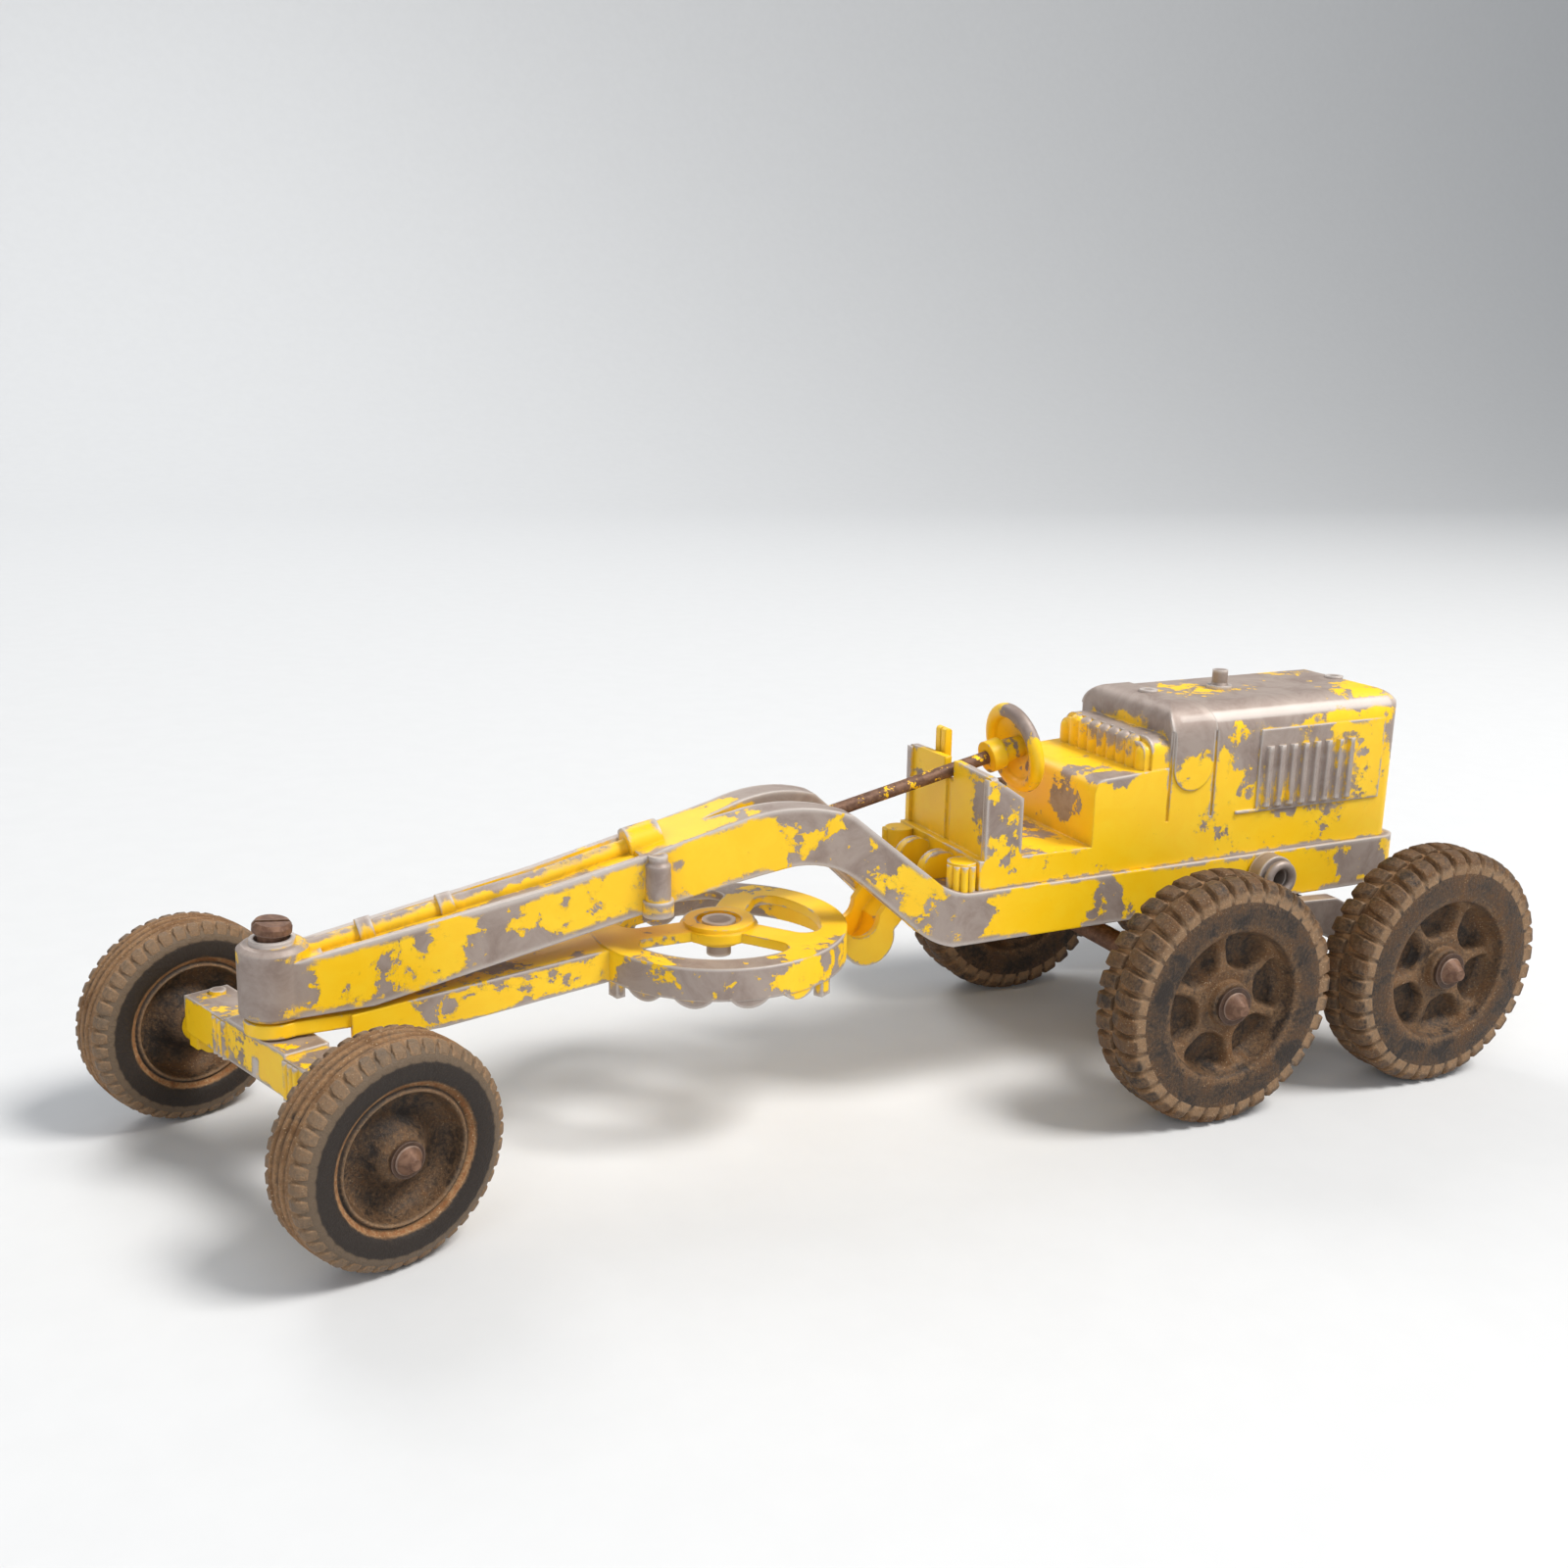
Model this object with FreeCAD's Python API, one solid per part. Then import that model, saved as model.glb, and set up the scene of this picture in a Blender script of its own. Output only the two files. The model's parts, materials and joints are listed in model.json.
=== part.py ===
"""Pull-along toy road grader, die-cast, with six rubber wheels.

Everything is in millimetres.  +X points to the front (the steered wheels), +Y to the
grader's left, +Z up, and the origin is on the ground under the middle of the model.

The body castings are drawn level and then leaned nose-down about the bogie pivot, because
the front wheels are smaller than the rear ones.  The front axle is drawn straight and then
turned to the angle at which it is stored.
"""
import FreeCAD, Part
import math
import os

V = FreeCAD.Vector
X_AXIS, Y_AXIS, Z_AXIS = V(1, 0, 0), V(0, 1, 0), V(0, 0, 1)

# ---- driving dimensions -------------------------------------------------------------
KINGPIN_X = 111.8          # vertical steering pin
PIVOT_X = -90.5            # cross pin that the rear bogie rocks on
PIVOT_Z = 41.8
BODY_LEAN = 1.19           # degrees nose-down
REST_STEER = 20.2          # degrees, left wheel to the rear
CENTRE_SHIFT = 0.3         # puts the origin under the middle of the overall length

REAR_R, REAR_W = 25.4, 12.6
REAR_Y = 38.5              # middle of a rear wheel
TANDEM = 56.8              # distance between the two rear axles
FRONT_R, FRONT_W = 19.6, 12.2
FRONT_Y = 36.1
REAR_AXLE_R, FRONT_AXLE_R = 2.4, 2.0
RUN = 0.06                 # radial clearance of a running fit
GAP = 0.4                  # side clearance between bodies
TANDEM_X = (PIVOT_X + TANDEM / 2, PIVOT_X - TANDEM / 2)

RAIL_Y, RAIL_WALL = 17.2, 2.4
RAIL_BOTTOM, DECK_TOP, DECK_T = 35.6, 46.1, 2.2
DECK_FRONT, FRAME_REAR = -11.0, -128.5
BODY_Y, BODY_WALL = 16.2, 1.8
BODY_REAR = -125.8
FLOOR_Z, ROOF_Z = 52.1, 79.0
DASH_X, DASH_T = -21.6, 1.6
SEAT_X, SEAT_Z = -46.1, 66.1
BACK_X, BACK_Z = -57.8, 73.3
DRUM_X0, DRUM_X1, DRUM_Z = -64.5, -75.8, 79.5
RIVET_X = (-70.0, -121.3)
ROD_R, ROD_SLOPE = 1.35, 0.223
ROD_X, ROD_Z = 2.3, 61.3   # a point on the steering rod's axis
ROD_FRONT, ROD_REAR = 39.0, -41.4
WHEEL_HUB_X = -30.4        # front end of the steering wheel's sleeve
STEER_WHEEL_R = 9.6
CIRCLE_X, CIRCLE_Z, CIRCLE_R = 28.7, 40.8, 24.9
PIN_R = 2.5                # kingpin shank
BOSS_R, BOSS_BOTTOM, BOSS_TOP = 6.1, 31.4, 44.4
BEAM_TOP, BEAM_BOTTOM, BEAM_Y, BEAM_X = 28.1, 20.2, 27.0, 4.2


# ---- building blocks ----------------------------------------------------------------
def box(x0, x1, y0, y1, z0, z1):
    return Part.makeBox(x1 - x0, y1 - y0, z1 - z0, V(x0, y0, z0))


def cyl(r, a, b):
    """Cylinder of radius r from point a to point b."""
    a, b = V(*a), V(*b)
    return Part.makeCylinder(r, (b - a).Length, a, b - a)


def cone(r0, r1, a, b):
    a, b = V(*a), V(*b)
    return Part.makeCone(r0, r1, (b - a).Length, a, b - a)


def fuse(shapes):
    return shapes[0].multiFuse(shapes[1:]).removeSplitter()


def outline(steps, place):
    """Closed face from points; a pair of points is an arc through the first to the second."""
    here = place(*steps[0])
    start, edges = here, []
    for step in steps[1:]:
        if isinstance(step[0], tuple):
            middle, end = place(*step[0]), place(*step[1])
            edges.append(Part.Arc(here, middle, end).toShape())
        else:
            end = place(*step)
            edges.append(Part.LineSegment(here, end).toShape())
        here = end
    if (here - start).Length > 1e-6:
        edges.append(Part.LineSegment(here, start).toShape())
    return Part.Face(Part.Wire(edges))


def prism_xz(steps, y0, y1):
    return outline(steps, lambda x, z: V(x, y0, z)).extrude(V(0, y1 - y0, 0))


def prism_xy(steps, z0, z1):
    return outline(steps, lambda x, y: V(x, y, z0)).extrude(V(0, 0, z1 - z0))


def prism_yz(steps, x0, x1):
    return outline(steps, lambda y, z: V(x0, y, z)).extrude(V(x1 - x0, 0, 0))


def both_sides(shape):
    return [shape, shape.mirror(V(0, 0, 0), Y_AXIS)]


def lean(shape):
    turned = shape.copy()
    turned.rotate(V(PIVOT_X, 0, PIVOT_Z), Y_AXIS, BODY_LEAN)
    return turned


def steer(shape):
    turned = shape.copy()
    turned.rotate(V(KINGPIN_X, 0, 0), Z_AXIS, REST_STEER)
    return turned


def rounded_top(half_y, bottom, top, r):
    """Outline in YZ of a block with rounded upper corners."""
    k = r * (1 - math.sqrt(0.5))
    return [(-half_y, bottom), (half_y, bottom), (half_y, top - r),
            ((half_y - k, top - k), (half_y - r, top)), (r - half_y, top),
            ((k - half_y, top - k), (-half_y, top - r))]


def rod_point(x):
    return (x, 0, ROD_Z + (ROD_X - x) * ROD_SLOPE)


# ---- main frame: boss, boom, gooseneck arms and rails --------------------------------
def arm_bend():
    """Side view of the boom and gooseneck."""
    return [(KINGPIN_X, 45.6), (64.0, 54.5), (45.5, 58.8), (27.0, 63.4),
            ((15.0, 64.9), (5.4, 62.8)), (-10.0, 49.6), ((-13.0, 47.4), (-18.7, DECK_TOP)),
            (-18.7, RAIL_BOTTOM), (-14.0, RAIL_BOTTOM), ((-10.6, 36.6), (-6.9, 39.4)),
            (3.8, 49.3), ((10.5, 53.0), (19.0, 53.2)), (39.8, 49.2), (96.0, 36.6),
            (KINGPIN_X, 36.0)]


def fork_plan(z0, z1):
    """Top view: a boom that widens to the fork, and two arms that spread to the rails."""
    steps = [(KINGPIN_X, -5.4), (KINGPIN_X, 5.4), (45.5, 8.0), ((12.0, 10.0), (-14.0, RAIL_Y)),
             (-18.7, RAIL_Y), (-18.7, 12.2), (-14.0, 12.2), ((12.0, 4.6), (32.4, 0.0)),
             ((12.0, -4.6), (-14.0, -12.2)), (-18.7, -12.2), (-18.7, -RAIL_Y),
             (-14.0, -RAIL_Y), ((12.0, -10.0), (45.5, -8.0))]
    return prism_xy(steps, z0, z1)


def boom():
    solid = prism_xz(arm_bend(), -20, 20).common(fork_plan(30, 70))
    channel = prism_xz([(103.0, 30.0), (103.0, 42.5), (49.0, 54.5), (49.0, 30.0)], -20, 20)
    inside = prism_xy([(103.0, -3.4), (103.0, 3.4), (49.0, 5.6), (49.0, -5.6)], 30, 60)
    tray = prism_xz([(104.0, 46.3), (64.0, 53.7), (47.0, 57.7), (47.0, 70.0), (104.0, 70.0)],
                    -20, 20)
    tray_plan = prism_xy([(104.0, -4.2), (104.0, 4.2), (47.0, 6.4), (47.0, -6.4)], 40, 70)
    return solid.cut(channel.common(inside)).cut(tray.common(tray_plan))


def column():
    """Half-buried steering column with its collars, cast along the top of the boom."""
    line = [(107.0, 46.2), (96.0, 48.4), (64.0, 54.3), (44.4, 59.0)]
    parts = [cyl(1.7, (a[0], 0, a[1]), (b[0], 0, b[1])) for a, b in zip(line, line[1:])]
    parts.append(Part.makeSphere(1.7, V(64.0, 0, 54.3)))
    for x, z, r, length in ((96.0, 48.6, 2.4, 2.6), (81.7, 51.3, 2.4, 2.6), (44.4, 59.2, 3.4, 6.5)):
        half = length / 2
        parts.append(cyl(r, (x + half, 0, z - half * 0.2), (x - half, 0, z + half * 0.2)))
    return fuse(parts)


def side_studs():
    x, y = 44.3, 8.6
    stud = fuse([cyl(2.9, (x, y, 47.3), (x, y, 50.3)), cyl(2.4, (x, y, 50.0), (x, y, 57.0)),
                 cone(2.4, 1.8, (x, y, 57.0), (x, y, 57.6)), cyl(1.8, (x, y, 57.4), (x, y, 58.8))])
    return both_sides(stud)


def rails():
    tray = box(FRAME_REAR, DECK_FRONT, -RAIL_Y, RAIL_Y, RAIL_BOTTOM, DECK_TOP)
    corners = [e for e in tray.Edges if e.BoundBox.XMax < FRAME_REAR + 1 and e.BoundBox.ZLength > 5]
    tray = tray.makeFillet(4.0, corners)
    inner = RAIL_Y - RAIL_WALL
    hollow = box(FRAME_REAR + RAIL_WALL, DECK_FRONT + 1, -inner, inner, 30, DECK_TOP - DECK_T)
    front = prism_xz([(-18.7, 30), (-18.7, 60), (-5, 60), (-5, 30)], -20, 20)
    arm_space = front.cut(box(-18.7, -5, -12.4, 12.4, DECK_TOP - DECK_T, DECK_TOP))
    tray = tray.cut(hollow).cut(arm_space)
    hub = cyl(5.2, (PIVOT_X, inner - 2.2, PIVOT_Z), (PIVOT_X, inner, PIVOT_Z))
    return [tray] + both_sides(hub)


def kingpin_boss():
    at = lambda z: (KINGPIN_X, 0, z)
    return fuse([cyl(BOSS_R, at(BOSS_BOTTOM + 0.8), at(BOSS_TOP - 0.8)),
                 cone(BOSS_R, BOSS_R - 0.9, at(BOSS_TOP - 0.8), at(BOSS_TOP)),
                 cone(BOSS_R - 0.8, BOSS_R, at(BOSS_BOTTOM), at(BOSS_BOTTOM + 0.8)),
                 cyl(3.9, at(BOSS_TOP - 1), at(BOSS_TOP + 0.9))])


def main_frame():
    body = lean(fuse([boom(), column()] + side_studs() + rails()))
    body = body.fuse(kingpin_boss())
    cuts = [cyl(PIN_R, (KINGPIN_X, 0, 20), (KINGPIN_X, 0, 60)),
            cyl(3.1, (KINGPIN_X, 0, BOSS_TOP - 1.2), (KINGPIN_X, 0, 60)),
            lean(cyl(3.0, (PIVOT_X, -30, PIVOT_Z), (PIVOT_X, 30, PIVOT_Z))),
            lean(cyl(ROD_R + RUN, rod_point(ROD_FRONT + 0.6), rod_point(20)))]
    cuts += [lean(cyl(1.2, (x, 0, 40), (x, 0, 50))) for x in RIVET_X + (-20.0,)]
    for tool in cuts:
        body = body.cut(tool)
    return body.removeSplitter()


# ---- upper body: platform, dash, seat and hood ----------------------------------------
def hood():
    front = DRUM_X1 + 2.5
    block = prism_yz(rounded_top(BODY_Y, DECK_TOP, ROOF_Z, 6.4), BODY_REAR, front)
    side = prism_xz([(front, DECK_TOP), (front, ROOF_Z), (-121.6, ROOF_Z),
                     ((-124.6, ROOF_Z - 1.2), (BODY_REAR, ROOF_Z - 4.2)), (BODY_REAR, DECK_TOP)],
                    -20, 20)
    y, r, k = BODY_Y, 2.5, 0.73
    plan = prism_xy([(front, -y), (front, y), (BODY_REAR + r, y),
                     ((BODY_REAR + k, y - k), (BODY_REAR, y - r)), (BODY_REAR, r - y),
                     ((BODY_REAR + k, k - y), (BODY_REAR + r, -y))], 40, 90)
    return block.common(side).common(plan)


def drum():
    """Rounded cowl between the seat and the hood, with a U-shaped strap down each side."""
    y, strap_r, middle = BODY_Y + 0.35, 4.9, (DRUM_X0 + DRUM_X1) / 2
    block = prism_yz(rounded_top(y, DECK_TOP, DRUM_Z, 7.2), DRUM_X1, DRUM_X0)
    k, r = 1.17, 4.0
    side = prism_xz([(DRUM_X0, DECK_TOP), (DRUM_X0, DRUM_Z - r), ((DRUM_X0 - k, DRUM_Z - k),
                     (DRUM_X0 - r, DRUM_Z)), (DRUM_X1 + r, DRUM_Z),
                     ((DRUM_X1 + k, DRUM_Z - k), (DRUM_X1, DRUM_Z - r)), (DRUM_X1, DECK_TOP)], -20, 20)
    block = block.common(side)
    strap = fuse([cyl(strap_r, (middle, y - 0.5, 66.6), (middle, y, 66.6)),
                  box(middle - strap_r, middle + strap_r, y - 0.5, y, 66.6, 80)])
    keep = fuse([box(DRUM_X1, DRUM_X0, -BODY_Y, BODY_Y, 40, 90)] + both_sides(strap))
    return block.common(keep)


def seat():
    block = prism_xz([(SEAT_X, DECK_TOP), (SEAT_X, SEAT_Z - 3.2), ((SEAT_X - 0.9, SEAT_Z - 0.9),
                      (SEAT_X - 3.4, SEAT_Z)), (DRUM_X0, SEAT_Z + 0.9), (DRUM_X0, DECK_TOP)],
                     -BODY_Y, BODY_Y)
    back = prism_yz(rounded_top(15.7, SEAT_Z - 2, BACK_Z, 3.4), DRUM_X0, BACK_X - 2.2)
    stuffing = prism_yz(rounded_top(15.1, SEAT_Z - 2, BACK_Z - 1.1, 2.6), BACK_X - 2.4, BACK_X - 0.7)
    return [block, back, stuffing] + pleats()


def pleats():
    """Upholstery rolls that run up the backrest and over its top."""
    r, count = 1.75, 9
    pitch = 2 * (15.2 - r) / (count - 1)
    x, z = BACK_X - r, BACK_Z - r + 0.1
    rolls = []
    for i in range(count):
        y = -15.2 + r + i * pitch
        drop = 1.6 if i in (0, count - 1) else 0.0
        rolls.append(fuse([cyl(r, (x, y, SEAT_Z - 1), (x, y, z - drop)),
                           Part.makeSphere(r, V(x, y, z - drop)),
                           cyl(r, (x, y, z - drop), (DRUM_X0, y, z - drop))]))
    return rolls


def dash():
    """Upright panel with a notch for the rod and a cheek down each side."""
    back = DASH_X - DASH_T
    panel = prism_yz([(-BODY_Y, FLOOR_Z - 1), (BODY_Y, FLOOR_Z - 1), (BODY_Y, 68.4),
                      (BODY_Y - 0.5, 68.7), (0, 69.1), (0.5 - BODY_Y, 68.7), (-BODY_Y, 68.4)],
                     back, DASH_X)
    slot_z = rod_point(DASH_X)[2] - ROD_R - GAP
    panel = panel.cut(box(-30, -10, -1.8, 1.8, slot_z, 80))
    panel = panel.cut(box(DASH_X - 0.4, -10, -0.9, 0.9, FLOOR_Z, 80))
    cheek = prism_xz([(DASH_X + 0.7, FLOOR_Z - 1), (DASH_X + 0.7, 68.4), (back, 68.2), (-29.3, 64.1),
                      (-29.3, FLOOR_Z - 1)], BODY_Y - 1.5, BODY_Y)
    return [panel] + both_sides(cheek)


def front_details():
    """Fluted corner columns, half-disc treadles and the pair of upright control levers."""
    parts = []
    for side in (1, -1):
        parts.append(cyl(3.0, (-17.8, side * 12.9, DECK_TOP), (-17.8, side * 12.9, 51.7)))
        for angle in (10, 40, 70, 100):
            a = math.radians(angle)
            x, y = -17.8 + 3.0 * math.cos(a), side * (12.9 + 3.0 * math.sin(a))
            parts.append(cyl(0.75, (x, y, DECK_TOP), (x, y, 51.3)))
        disc = cyl(4.3, (-17.0, side * 4.9 - 1.2, 47.4), (-17.0, side * 4.9 + 1.2, 47.4))
        parts.append(disc.common(box(-30, 0, -20, 20, DECK_TOP, 60)))
    for y in (-9.0, -6.9):
        lever = box(-25.6, -24.0, y - 0.85, y + 0.85, FLOOR_Z - 1, 73.0)
        parts.append(lever.fuse(cyl(0.8, (-24.8, y - 0.85, 73.0), (-24.8, y + 0.85, 73.0))))
    return parts


def louvres():
    """Raised side panels with eight upright louvre fins on each side of the hood."""
    first, pitch, count = -88.7, 3.18, 8
    parts = []
    for side in (1, -1):
        y0, y1 = sorted((side * (BODY_Y - 0.5), side * (BODY_Y + 0.4)))
        parts.append(box(-121.4, -87.4, y0, y1, 55.4, 73.2))
        parts.append(box(-88.0, -82.1, y0, y1, 55.4, 56.0))
        for i in range(count):
            x = first - i * pitch
            fin = [(x, side * BODY_Y), (x - 0.5, side * (BODY_Y + 1.2)),
                   (x - 1.5, side * (BODY_Y + 1.2)), (x - 2.7, side * BODY_Y)]
            parts.append(prism_xy(fin, 56.4, 69.5))
    return parts


def body_hollow():
    y = BODY_Y - BODY_WALL
    return fuse([box(BODY_REAR + BODY_WALL, -66.8, -y, y, 40, 76.4),
                 box(-67.0, SEAT_X - BODY_WALL, -y, y, 40, SEAT_Z - 2.2),
                 box(-50.0, DASH_X - 1.2, -y, y, 40, FLOOR_Z - BODY_WALL)])


def upper_body():
    platform = box(-60, DASH_X + 1.8, -BODY_Y, BODY_Y, DECK_TOP, FLOOR_Z)
    shell = fuse([platform, hood(), drum()] + seat())
    shell = shell.cut(body_hollow())
    posts = [cyl(2.8, (x, 0, DECK_TOP), (x, 0, 77.5)) for x in RIVET_X]
    shell = fuse([shell] + posts + dash() + front_details() + louvres())
    for x, top in ((DRUM_X0, 74.5), (DRUM_X1, 74.0)):
        for side in (1, -1):
            y0, y1 = sorted((side * (BODY_Y - 0.4), side * (BODY_Y + 0.3)))
            shell = shell.cut(box(x - 0.35, x + 0.35, y0, y1, 55.6, top))
    for x in RIVET_X:
        shell = shell.cut(cyl(1.2, (x, 0, 40), (x, 0, 90)))
    shell = shell.cut(cyl(1.0, (-88.8, 0, 70), (-88.8, 0, 90)))
    return lean(shell.removeSplitter())


def body_rivets():
    """Long rivets from the roof, through the cast posts and the deck."""
    rivets = []
    for x, roof in zip(RIVET_X, (DRUM_Z, ROOF_Z)):
        rivets.append(fuse([cyl(1.2, (x, 0, DECK_TOP - DECK_T - 0.5), (x, 0, roof + 0.2)),
                            cyl(1.95, (x, 0, roof), (x, 0, roof + 0.5)),
                            cyl(2.2, (x, 0, DECK_TOP - DECK_T - 1.0), (x, 0, DECK_TOP - DECK_T))]))
    return lean(Part.makeCompound(rivets))


def exhaust_stub():
    x, at = -88.8, lambda z: (-88.8, 0, z)
    stub = fuse([cyl(1.0, at(ROOF_Z - 3.2), at(ROOF_Z + 1)), cyl(2.7, at(ROOF_Z), at(ROOF_Z + 0.7)),
                 cone(2.0, 1.7, at(ROOF_Z + 0.6), at(ROOF_Z + 1.2)), cyl(1.65, at(ROOF_Z + 1), at(83.0))])
    return lean(stub)


# ---- steering rod and wheel ------------------------------------------------------------
def steering_rod():
    return lean(cyl(ROD_R, rod_point(ROD_FRONT), rod_point(ROD_REAR)))


def steering_wheel():
    """Dished disc with a thick rim and a long sleeve, drawn along +X then laid on the rod."""
    barrel = [(0.0, ROD_R), (10.0, ROD_R), (10.0, 2.0), (3.2, 2.6), (3.2, 3.3), (0.0, 3.3)]
    sleeve = outline(barrel, lambda a, r: V(a, 0, r)).revolve(V(0, 0, 0), X_AXIS, 360)
    cone_wall = [(8.4, ROD_R), (8.0, 3.6), (6.0, STEER_WHEEL_R - 1.3),
                 (7.6, STEER_WHEEL_R - 1.3), (9.6, 3.6), (10.0, ROD_R)]
    dish = outline(cone_wall, lambda a, r: V(a, 0, r)).revolve(V(0, 0, 0), X_AXIS, 360)
    rim = Part.makeTorus(STEER_WHEEL_R - 1.5, 1.5, V(6.8, 0, 0), X_AXIS)
    wheel = fuse([sleeve, dish, rim])
    wheel.rotate(V(0, 0, 0), Y_AXIS, 180 + math.degrees(math.atan(ROD_SLOPE)))
    wheel.translate(V(*rod_point(WHEEL_HUB_X)))
    return lean(wheel.cut(cyl(ROD_R, rod_point(0), rod_point(-60))))


# ---- drawbar, circle and tail arm --------------------------------------------------------
def circle():
    """Flat wheel with a skirt, three broad spokes and a hub."""
    at = lambda z: (CIRCLE_X, 0, z)
    r, plate = CIRCLE_R, 1.9
    ring = cyl(r, at(CIRCLE_Z - 6.2), at(CIRCLE_Z))
    ring = ring.cut(cyl(r - plate, at(30), at(CIRCLE_Z - plate)))
    ring = ring.cut(Part.makeCompound(windows()))
    hub = cyl(7.0, at(CIRCLE_Z - 2.2), at(CIRCLE_Z + 0.9)).cut(cyl(4.4, at(CIRCLE_Z + 0.2), at(50)))
    return [ring, hub, cyl(4.2, at(CIRCLE_Z - 3.6), at(CIRCLE_Z))] + skirt_lugs()


def windows():
    """The three openings between the spokes, with rounded corners."""
    at = lambda z: (CIRCLE_X, 0, z)
    field = cyl(CIRCLE_R - 5.1, at(35), at(45)).cut(cyl(7.6, at(35), at(45)))
    for angle in (0, 127, -127):
        spoke = box(0, 30, -3.1, 3.1, 34, 46)
        spoke.rotate(V(0, 0, 0), Z_AXIS, angle)
        spoke.translate(V(CIRCLE_X, 0, 0))
        field = field.cut(spoke)
    rounded = []
    for window in field.Solids:
        corners = [e for e in window.Edges if e.BoundBox.ZLength > 9 and e.BoundBox.XLength < 0.1]
        outer = [e for e in corners if (e.CenterOfMass - V(CIRCLE_X, 0, 40)).Length > 14]
        rounded.append(window.makeFillet(3.4, outer))
    return rounded


def skirt_lugs():
    """Rounded lobes and square lugs that hang below the skirt."""
    bottom, r = CIRCLE_Z - 6.2, CIRCLE_R - 1.1
    lugs = []
    for side in (1, -1):
        for angle in (34, 57, 81, 105):
            lobe = cyl(4.6, (-0.9, 0, bottom + 3.0), (0.9, 0, bottom + 3.0))
            lobe = lobe.common(box(-1, 1, -5, 5, bottom - 2, bottom + 0.5))
            lugs.append(place_on_circle(lobe, r, side * angle))
        for angle in (15, 122):
            lug = box(-0.9, 0.9, -1.4, 1.4, bottom - 3.0, bottom + 1.0)
            lugs.append(place_on_circle(lug, r, side * angle))
    return lugs


def place_on_circle(shape, r, angle):
    shape.translate(V(r, 0, 0))
    shape.rotate(V(0, 0, 0), Z_AXIS, angle)
    shape.translate(V(CIRCLE_X, 0, 0))
    return shape


def drawbar():
    """Channel that runs from the kingpin eye back to the circle."""
    side = [(100.0, 35.2), (51.0, CIRCLE_Z), (51.0, 34.6), (84.0, 30.4), (100.0, 29.9)]
    bar = prism_xz(side, -5.6, 5.6)
    hollow = prism_xz([(102.0, 33.0), (47.0, 38.7), (47.0, 28.0), (102.0, 28.0)], -3.9, 3.9)
    tongue = prism_xz([(KINGPIN_X, 32.8), (KINGPIN_X, 35.3), (99.0, 35.3), (99.0, 32.8)], -5.0, 5.0)
    eye = cyl(5.6, (KINGPIN_X, 0, 32.8), (KINGPIN_X, 0, 35.3))
    return [bar.cut(hollow), tongue, eye]


def tail_arm():
    """Curved trough from the back of the circle up to the underside of the deck."""
    back = CIRCLE_X - CIRCLE_R + 1.0
    under = DECK_TOP - DECK_T
    outer = prism_xz([(back, 40.6), (back, 34.2), ((-0.2, 29.8), (-6.6, 36.6)), (-12.8, under),
                      (-6.2, under), (-3.2, 40.0), ((0.8, 35.8), (back - 0.4, 40.6))], -6.4, 6.4)
    inner = prism_xz([(back + 1, 42.0), (back - 0.8, 36.6), ((0.2, 31.7), (-5.2, 37.4)),
                      (-11.0, under), (-4.0, 50.0)], -4.8, 4.8)
    pad = box(-26.0, -9.6, -6.4, 6.4, under - 1.8, under)
    return [outer.cut(inner), pad]


def drawbar_circle():
    casting = fuse(circle() + drawbar() + tail_arm())
    casting = casting.cut(cyl(2.4, (CIRCLE_X, 0, 30), (CIRCLE_X, 0, 50)))
    casting = casting.cut(cyl(1.2, (-20.0, 0, 30), (-20.0, 0, 50)))
    casting = lean(casting)
    return casting.cut(cyl(PIN_R, (KINGPIN_X, 0, 20), (KINGPIN_X, 0, 50)))


def blade_pivot_rivet():
    at = lambda z: (CIRCLE_X, 0, z)
    seat = CIRCLE_Z + 0.2
    return lean(fuse([cyl(2.4, at(34.6), at(seat + 0.1)), cyl(3.3, at(seat), at(seat + 0.6))]))


def tail_rivet():
    """Rivet that holds the tail arm, ground flush with the top of the deck."""
    at = lambda z: (-20.0, 0, z)
    under = DECK_TOP - DECK_T
    return lean(fuse([cyl(1.2, at(under - 2.2), at(DECK_TOP - 0.05)),
                      cyl(2.2, at(under - 2.6), at(under - 1.8))]))


# ---- kingpin ----------------------------------------------------------------------------
def kingpin_screw():
    at = lambda z: (KINGPIN_X, 0, z)
    head = cyl(3.4, at(46.5), at(47.6)).fuse(cone(3.4, 2.9, at(47.6), at(48.3)))
    head = head.cut(box(KINGPIN_X - 5, KINGPIN_X + 5, -0.5, 0.5, 47.3, 50))
    head.rotate(V(*at(46.5)), V(1, 1, 0), -7)
    return fuse([cyl(PIN_R, at(22.1), at(46.9)), head])


def kingpin_collar():
    """Round collar that holds the pin's lower end inside the beam."""
    ring = cyl(3.2, (KINGPIN_X, 0, 22.1), (KINGPIN_X, 0, 23.6))
    return ring.cut(cyl(PIN_R, (KINGPIN_X, 0, 20), (KINGPIN_X, 0, 30)))


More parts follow.
